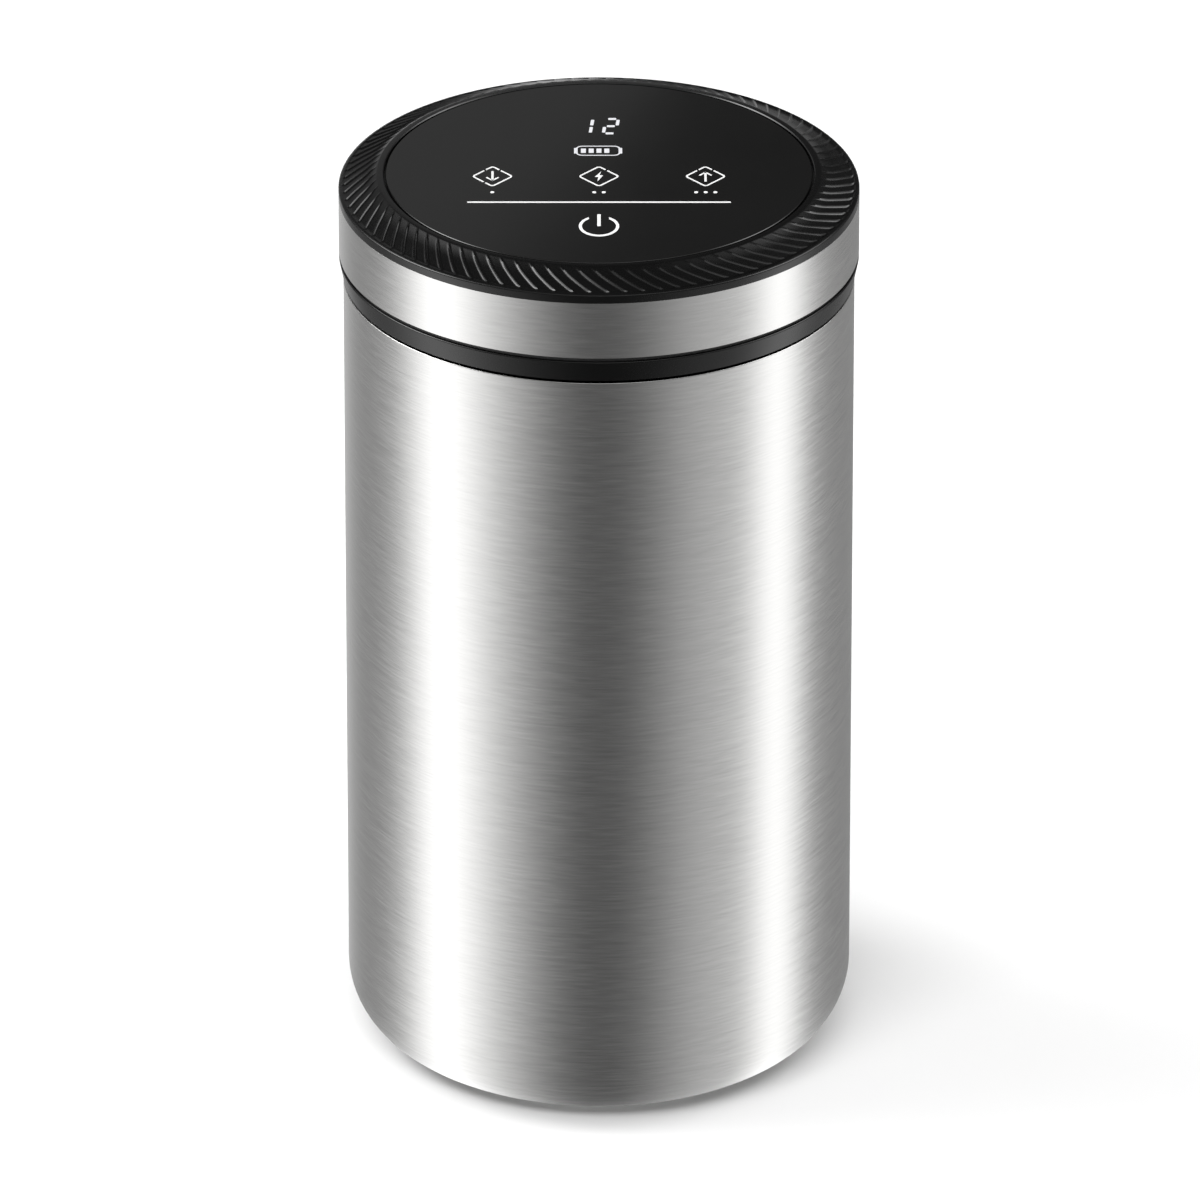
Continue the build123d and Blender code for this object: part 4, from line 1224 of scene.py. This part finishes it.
@dataclass
class DisplayMarks(PanelMarks):
    """The lit marks: a number in seven-segment digits, and the battery's outline with its charge."""

    digits: tuple[tuple[float, str], ...] = ((-3.15 * MM, "bc"), (2.75 * MM, "abged"))
    digits_middle: float = 25.4 * MM
    digit_half_width: float = 1.42 * MM
    digit_half_height: float = 4.0 * MM
    digit_lean: float = 0.078
    segment_width: float = 0.76 * MM
    segment_short: float = 0.5 * MM
    segment_corner_share: float = 0.25
    level_width_share: float = 1.35
    battery_x: float = -0.2 * MM
    battery_middle: float = 11.8 * MM
    battery_width: float = 10.2 * MM
    battery_length: float = 5.4 * MM
    battery_corner: float = 1.5 * MM
    battery_stroke: float = 0.36 * MM
    end_gap: float = 0.2 * MM
    end_half: float = 1.5 * MM
    end_width: float = 0.5 * MM
    end_corner_share: float = 0.2
    charge_bars: int = 4
    charge_start: float = -3.4 * MM
    charge_pitch: float = 1.8 * MM
    charge_half: float = 1.15 * MM
    charge_width: float = 1.15 * MM
    charge_corner_share: float = 0.08

    def digit(self, x: float, segments: str) -> list[Thing]:
        """Light some of the seven segments of a leaning digit.

        Args:
            x: The digit's middle.
            segments: Letters a to g, in the usual order from the top.

        Returns:
            The segments.
        """
        corners = {
            "a": ((-1, 1), (1, 1)), "b": ((1, 1), (1, 0)), "c": ((1, 0), (1, -1)), "d": ((-1, -1), (1, -1)),
            "e": ((-1, 0), (-1, -1)), "f": ((-1, 1), (-1, 0)), "g": ((-1, 0), (1, 0)),
        }
        strokes = []
        for letter in segments:
            ends = []
            for across, up in corners[letter]:
                y = up * self.digit_half_height
                lean = x + across * self.digit_half_width + y * self.digit_lean
                ends.append(Vector((lean, self.digits_middle + y)))
            along = (ends[1] - ends[0]).normalized() * self.segment_short
            width = self.segment_width * (self.level_width_share if letter in "adg" else 1.0)
            start, end = tuple(ends[0] + along), tuple(ends[1] - along)
            strokes.append(self.bar(start, end, width, self.segment_corner_share))
        return strokes

    def battery(self) -> list[Thing]:
        """Draw the battery.

        Returns:
            Its outline, its two ends and four charge bars.
        """
        case = flat_shape("battery_case", self.battery_width, self.battery_length, self.battery_corner)
        hollow(case, self.battery_stroke)
        x, row = self.battery_x, self.battery_middle
        marks = [settle(case, (x, row, self.lines.top))]
        for side in (-1, 1):
            end = x + side * (self.battery_width / 2 + self.end_gap)
            marks.append(self.post(end, row, self.end_half, self.end_width, self.end_corner_share))
        for place in range(self.charge_bars):
            at = x + self.charge_start + self.charge_pitch * place
            marks.append(self.post(at, row, self.charge_half, self.charge_width, self.charge_corner_share))
        return marks

    def dress(self, finishes: Finishes) -> None:
        """Draw the marks and place them on the lid."""
        marks = [segment for x, letters in self.digits for segment in self.digit(x, letters)] + self.battery()
        finishes.place(self.finish("display_marks", marks), "lid", Slot.panel_black, ink=finishes.lamp)


@dataclass
class LidUnderside:
    """What shows when the lid lifts: plug, gasket, filter cap and foam, and the pocket at the back."""

    copies: tuple[tuple[str, str, str, Slot], ...] = (
        ("lid_base", "sealing_plug", "lid", Slot.housing_black),
        ("lid_housing", "stepped_housing", "lid", Slot.housing_black),
        ("lid_gasket", "lipped_gasket", "lid", Slot.silicone),
        ("filter_disc", "foam_disc", "lid", Slot.foam),
        ("filter_cap", "vented_cap", "filter_cap", Slot.cap_grey),
        ("charging_socket", "socket_mouth", "lid", Slot.steel),
    )

    def dress(self, finishes: Finishes) -> None:
        """Copy each node with smooth shading and place the copy on its body."""
        for node, name, body, slot in self.copies:
            finishes.place(smooth_copy(node, name), body, slot, node)


@dataclass
class ReturnCoil:
    """The coil that presses the release valve shut, and shortens as the valve lifts."""

    lift: float = 1.5 * MM

    def dress(self, finishes: Finishes) -> None:
        """Copy the coil with smooth shading and give the copy a mesh of its own.

        Args:
            finishes: The materials.
        """
        coil = smooth_copy("release_spring", "return_coil")
        finishes.place(coil, "lid", Slot.steel, "release_spring")
        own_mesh(coil)


# Floor, light and camera


@dataclass(frozen=True)
class Softbox:
    """A soft light around the object, as a patch of the surroundings, in degrees.

    One with no height is an upright strip that only faces turned down to it see.
    """

    azimuth: float
    spread: float
    strength: float
    height: float | None = None
    height_spread: float = 0.0


class SkyBoard(Board):
    """The nodes of the surroundings."""

    def __init__(self) -> None:
        """Start a world with one Background shader."""
        world = bpy.data.worlds.new("studio")
        bpy.context.scene.world = world
        world.use_nodes = True
        super().__init__(world.node_tree)
        split = self.add("ShaderNodeSeparateXYZ")
        self.link(self.add("ShaderNodeTexCoord").outputs["Generated"], split.inputs[0])
        self.x, self.y, self.z = split.outputs

    def maths(self, operation: str, first: Socket | float, second: Socket | float = 0.0) -> Socket:
        """Work out one step on sockets or numbers.

        Args:
            operation: Blender's name for the step.
            first: Its first value.
            second: Its second value, where it has one.

        Returns:
            The result.
        """
        node = self.add("ShaderNodeMath", operation=operation)
        for slot, value in zip(node.inputs, (first, second)):
            if isinstance(value, (int, float)):
                slot.default_value = value
            else:
                self.link(value, slot)
        return node.outputs[0]

    def bell(self, angle: Socket, middle: float, spread: float) -> Socket:
        """A soft hump of height 1 where an angle is near its middle, both in degrees."""
        off = self.maths("DIVIDE", self.maths("SUBTRACT", angle, math.radians(middle)), math.radians(spread))
        return self.maths("EXPONENT", self.maths("MULTIPLY", self.maths("MULTIPLY", off, off), -0.5))

    def mix(self, share: Socket, first: Socket | float, second: Socket | float) -> Socket:
        """Go from a first value to a second one."""
        gap = self.maths("SUBTRACT", second, first)
        return self.maths("ADD", first, self.maths("MULTIPLY", gap, share))


@dataclass
class Studio:
    """A pale floor, soft light from both sides and above, and the camera at the photograph's angle."""

    front: float = 0.062
    behind: float = 0.27
    behind_from: float = 88.0
    behind_to: float = 116.0
    above: float = 0.058
    horizon: Pair = (-0.04, 0.06)
    boxes: tuple[Softbox, ...] = (
        Softbox(-78.0, 13.5, 1.55),
        Softbox(-57.0, 21.0, 0.86),
        Softbox(-166.0, 14.0, 0.4),
        Softbox(88.5, 10.5, 1.95),
        Softbox(54.0, 21.0, 0.6),
        Softbox(-102.0, 14.0, 13.0, 40.0, 9.0),
        Softbox(104.0, 14.0, 7.0, 40.0, 9.0),
        Softbox(12.0, 40.0, 1.5, 56.0, 9.0),
    )
    backdrop: float = 1.0
    floor_size: float = 30.0
    floor_colour: Triple = (0.82, 0.82, 0.82)
    floor_tint: Pair = (0.995, 1.005)
    floor_clouds: Noise = even(0.8)
    overhead_size: float = 2.4
    overhead_height: float = 2.0
    overhead_power: float = 18.0
    key_place: Triple = (-0.3, -1.2, 1.45)
    key_size: Pair = (1.4, 0.5)
    key_power: float = 21.0
    card_place: Triple = (-0.071, 0.24, 0.26)
    card_size: Pair = (0.2, 0.2)
    card_power: float = 0.0225
    elevation: float = math.radians(26.35)
    distance: float = 3.6395
    look_height: float = 109.1 * MM
    lens: float = 468.07
    sensor: float = 36.0
    shift: float = 0.00085
    sight: float = 100.0

    def surround(self) -> None:
        """Light the object from all around, brighter at the softboxes.

        Below the horizon the softboxes are upright strips. Their pattern bends under the object, so
        that the can's rounded lower corner carries the strips down to the floor.
        """
        sky = SkyBoard()
        squares = [sky.maths("MULTIPLY", side, side) for side in (sky.x, sky.y)]
        reach = sky.maths("MAXIMUM", sky.maths("SQRT", sky.maths("ADD", *squares)), math.cos(self.elevation))
        below = sky.maths("MULTIPLY", sky.maths("ARCTAN2", sky.x, sky.maths("SUBTRACT", reach, sky.y)), 2.0)
        azimuth = sky.maths("ARCTAN2", sky.x, sky.maths("MULTIPLY", sky.y, -1.0))
        height = sky.maths("ARCSINE", sky.z)
        edges = math.radians(self.behind_from), math.radians(self.behind_to)
        rear = sky.between(sky.maths("ABSOLUTE", below), (0.0, self.behind), edges, "SMOOTHSTEP")
        lower = sky.maths("ADD", self.front, rear)
        upper = self.above
        for box in self.boxes:
            strip = sky.bell(below if box.height is None else azimuth, box.azimuth, box.spread)
            patch = sky.maths("MULTIPLY", strip, box.strength)
            if box.height is None:
                lower = sky.maths("ADD", lower, patch)
            else:
                patch = sky.maths("MULTIPLY", sky.bell(height, box.height, box.height_spread), patch)
                upper = sky.maths("ADD", upper, patch)
        total = sky.mix(sky.between(sky.z, (0.0, 1.0), self.horizon, "SMOOTHSTEP"), lower, upper)
        seen = sky.add("ShaderNodeLightPath").outputs["Is Camera Ray"]
        background = sky.tree.nodes["Background"]
        sky.link(sky.mix(seen, total, self.backdrop), background.inputs["Color"])

    def hang(self, name: str, place: Triple, size: Pair, power: float) -> Thing:
        """Hang a soft light that doesn't show in the steel.

        Args:
            name: Its name.
            place: Where it hangs.
            size: Its width and height.
            power: Its power in watts.

        Returns:
            The light.
        """
        pick()
        bpy.ops.object.light_add(type="AREA", location=place)
        lamp = bpy.context.object
        lamp.name = name
        lamp.data.shape = "RECTANGLE"
        lamp.data.size, lamp.data.size_y = size
        lamp.data.energy = power
        lamp.visible_glossy = False
        return lamp

    def lamps(self) -> None:
        """Hang the light above, the one in front and the small card that shows in the panel."""
        self.hang("overhead_softbox", (0.0, 0.0, self.overhead_height), (self.overhead_size,) * 2,
                  self.overhead_power)
        key = self.hang("front_softbox", self.key_place, self.key_size, self.key_power)
        key.rotation_euler = (-Vector(self.key_place)).to_track_quat("-Z", "Y").to_euler()
        card = self.hang("panel_card", self.card_place, self.card_size, self.card_power)
        towards = Vector((0.0, 0.0, CAD_BOX[1][2])) - Vector(self.card_place)
        corner_up = Quaternion((0.0, 0.0, 1.0), math.pi / 4)
        card.rotation_euler = (towards.to_track_quat("-Z", "Y") @ corner_up).to_euler()
        card.visible_glossy = True
        card.visible_camera = False

    def floor(self) -> None:
        """Lay the pale floor, which doesn't show in the steel either."""
        pick()
        bpy.ops.mesh.primitive_plane_add(size=self.floor_size)
        floor = bpy.context.object
        floor.name = "floor"
        floor.visible_glossy = False
        board = FinishBoard("pale_floor")
        board.paint(board.noise(self.floor_clouds), self.floor_colour, self.floor_tint, Finish.span)
        board.fixed(Roughness=1.0, Specular_IOR_Level=0.0)
        floor.data.materials.append(board.material)

    def camera(self) -> None:
        """Set the camera where the photograph was taken from."""
        pick()
        back, up = self.distance * math.cos(self.elevation), self.distance * math.sin(self.elevation)
        turn = (math.pi / 2 - self.elevation, 0.0, 0.0)
        bpy.ops.object.camera_add(location=(0.0, -back, self.look_height + up), rotation=turn)
        camera = bpy.context.object
        camera.name = "photo_camera"
        camera.data.lens = self.lens
        camera.data.sensor_width = self.sensor
        camera.data.shift_x = self.shift
        camera.data.clip_end = self.sight
        bpy.context.scene.camera = camera

    def set_up(self) -> None:
        """Set up light, floor and camera."""
        bpy.context.scene.view_settings.view_transform = "Standard"
        self.surround()
        self.lamps()
        self.floor()
        self.camera()
        log.info("studio: lens %.1f mm, %d softboxes", self.lens, len(self.boxes))


def main() -> None:
    """Build the studio and every sub-assembly."""
    logging.basicConfig(level=logging.INFO, format="%(message)s")
    Studio().set_up()
    finishes = Finishes()
    finishes.dress_frame()
    lines = Lines()
    for assembly in (Can, Band, SwirlRing, TouchPanel, KeyMarks, DisplayMarks):
        assembly(lines).dress(finishes)
    LidUnderside().dress(finishes)
    ReturnCoil().dress(finishes)


if __name__ == "__main__":
    main()
